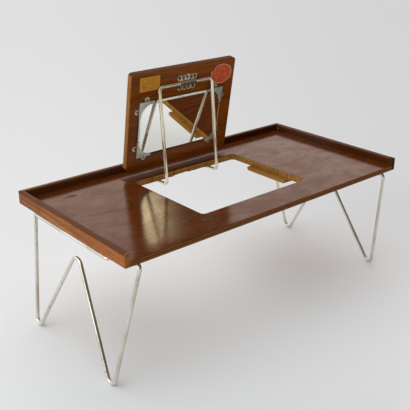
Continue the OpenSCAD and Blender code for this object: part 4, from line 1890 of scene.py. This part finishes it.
@dataclass
class Studio:
    """The pale floor, the soft lights and the camera."""

    grey: Colour = (0.775, 0.825, 0.870)
    # Painted light on the floor: paler on the window side, darker to the right, and paler round a
    # point under the table to lift its shadow.
    left_grey: float = 1.04
    right_grey: float = 0.915
    painted_lift_centre: Point = (0.12, -0.08, 0.0)
    painted_lift: float = 0.20
    sky: Colour = (0.74, 0.74, 0.745)
    gloom: Colour = (0.085, 0.065, 0.05)
    glows: tuple[Glow, ...] = (
        Glow((-0.25, 0.35, 0.90), (1.25, 1.25, 1.24), 0.40, 0.80),
        Glow((0.62, 0.74, 0.26), (1.20, 0.98, 0.86), 0.40, 0.85),
        Glow((-0.88, 0.42, 0.22), (1.32, 1.31, 1.27), 0.45, 0.85),
        Glow((0.514, -0.846, 0.143), (6.6, 5.7, 3.6), 0.9984, 0.9992),
    )
    eye: Point = (-0.832702, -0.932984, 0.711479)
    yaw: float = 40.629
    pitch: float = 22.844
    roll: float = 0.016
    lens: float = 62.65

    def build(self) -> None:
        """Makes the studio."""
        self.floor()
        self.world()
        place, target = (-2.6, 0.4, 1.1), (-0.2, 0.0, 0.1)
        self.lamp("left_window", place, target, size=2.0, power=15.0)
        self.camera()

    def floor(self) -> None:
        """A wide matt floor with painted light: paler towards the window and round a point under
        the table.
        """
        deselect()
        bpy.ops.mesh.primitive_plane_add(size=60.0, location=(0.0, 0.0, -0.0002))
        floor = bpy.context.object
        floor.name = "floor"
        material, g, place = Finish("studio_paper").start()
        turn = math.radians(self.yaw)
        away = g.vector("SUBTRACT", place, self.eye)
        ahead = g.vector("DOT_PRODUCT", away, (math.sin(turn), math.cos(turn), 0.0))
        aside = g.vector("DOT_PRODUCT", away, (math.cos(turn), -math.sin(turn), 0.0))
        bearing = g.math("DIVIDE", aside, g.most(ahead, 0.3))
        # Painted light: the floor's tone falls from the window side to the right.
        across = g.fit(bearing, -0.29, 0.29, self.left_grey, self.right_grey)
        # Painted light: paler round a point under the table, which lifts the table's shadow.
        lit = g.fit(g.vector("DISTANCE", place, self.painted_lift_centre), 0.12, 0.58, 1.0 + self.painted_lift, 1.0)
        fibre = g.noise(place, 400.0, 2.0, 0.6)
        # Painted light: paler again far to the right, out of view, where the mirror sees the floor.
        level = g.plus(across, g.fit(bearing, 0.31, 0.45, 0.0, 0.14))
        level = g.times(level, lit, g.plus(0.99, g.times(fibre, 0.02)))
        tone = g.vector("MULTIPLY", self.grey, level)
        Finish.close(g, {"Base Color": tone, "Roughness": 0.9, "Specular IOR Level": 0.1})
        dress(floor, material)

    def world(self) -> None:
        """A dim room with a bright ceiling, backdrop and window, and a warm lamp at the right."""
        world = bpy.data.worlds.new("studio")
        bpy.context.scene.world = world
        world.use_nodes = True
        g = Graph(world.node_tree)
        way = g.node("ShaderNodeTexCoord").outputs["Generated"]
        colour: object = self.gloom
        for glow in self.glows:
            towards = tuple(Vector(glow.way).normalized())
            near = g.vector("DOT_PRODUCT", way, towards)
            colour = g.mix(g.fit(near, glow.start, glow.full), colour, glow.colour)
        seen = g.node("ShaderNodeLightPath").outputs["Is Camera Ray"]
        shown = g.mix(seen, colour, self.sky)
        back = g.node("ShaderNodeBackground", {"Color": shown, "Strength": 1.0})
        g.node("ShaderNodeOutputWorld", {"Surface": back.outputs[0]})

    def lamp(self, name: str, place: Point, target: Point, size: float, power: float) -> None:
        """Adds a square softbox.

        Args:
            name: its name.
            place: where it hangs.
            target: what it points at.
            size: its side in metres.
            power: its power in watts.
        """
        data = bpy.data.lights.new(name, "AREA")
        data.shape = "SQUARE"
        data.size = size
        data.energy = power
        lamp = bpy.data.objects.new(name, data)
        bpy.context.scene.collection.objects.link(lamp)
        lamp.location = place
        lamp.rotation_euler = (Vector(target) - Vector(place)).to_track_quat("-Z", "Y").to_euler()

    def camera(self) -> None:
        """The camera that was fitted to the photograph."""
        data = bpy.data.cameras.new("view")
        data.sensor_width = 36.0
        data.lens = self.lens
        camera = bpy.data.objects.new("view", data)
        bpy.context.scene.collection.objects.link(camera)
        camera.location = self.eye
        turns = (90.0 - self.pitch, self.roll, -self.yaw)
        camera.rotation_euler = tuple(math.radians(turn) for turn in turns)
        bpy.context.scene.camera = camera
        bpy.context.scene.view_settings.view_transform = "Standard"


def report(pieces: Iterable[bpy.types.Object]) -> None:
    """Logs each new piece with its size.

    Args:
        pieces: the pieces, which are made as they are asked for.
    """
    for piece in pieces:
        size = [round(side / MM, 1) for side in piece.dimensions]
        LOG.info("%s: %d faces, %s mm", piece.name, len(piece.data.polygons), size)


def main() -> None:
    """Builds the scene round the frame."""
    logging.basicConfig(level=logging.INFO, format="%(name)s: %(message)s")
    Studio().build()
    effects = Effects()
    report(Tray(effects).build())
    report(Hardware(effects).build())
    report(BentWire(effects).build())
    report(FlapPanel(effects, PanelFrame()).build())
    deselect()


if __name__ == "__main__":
    main()
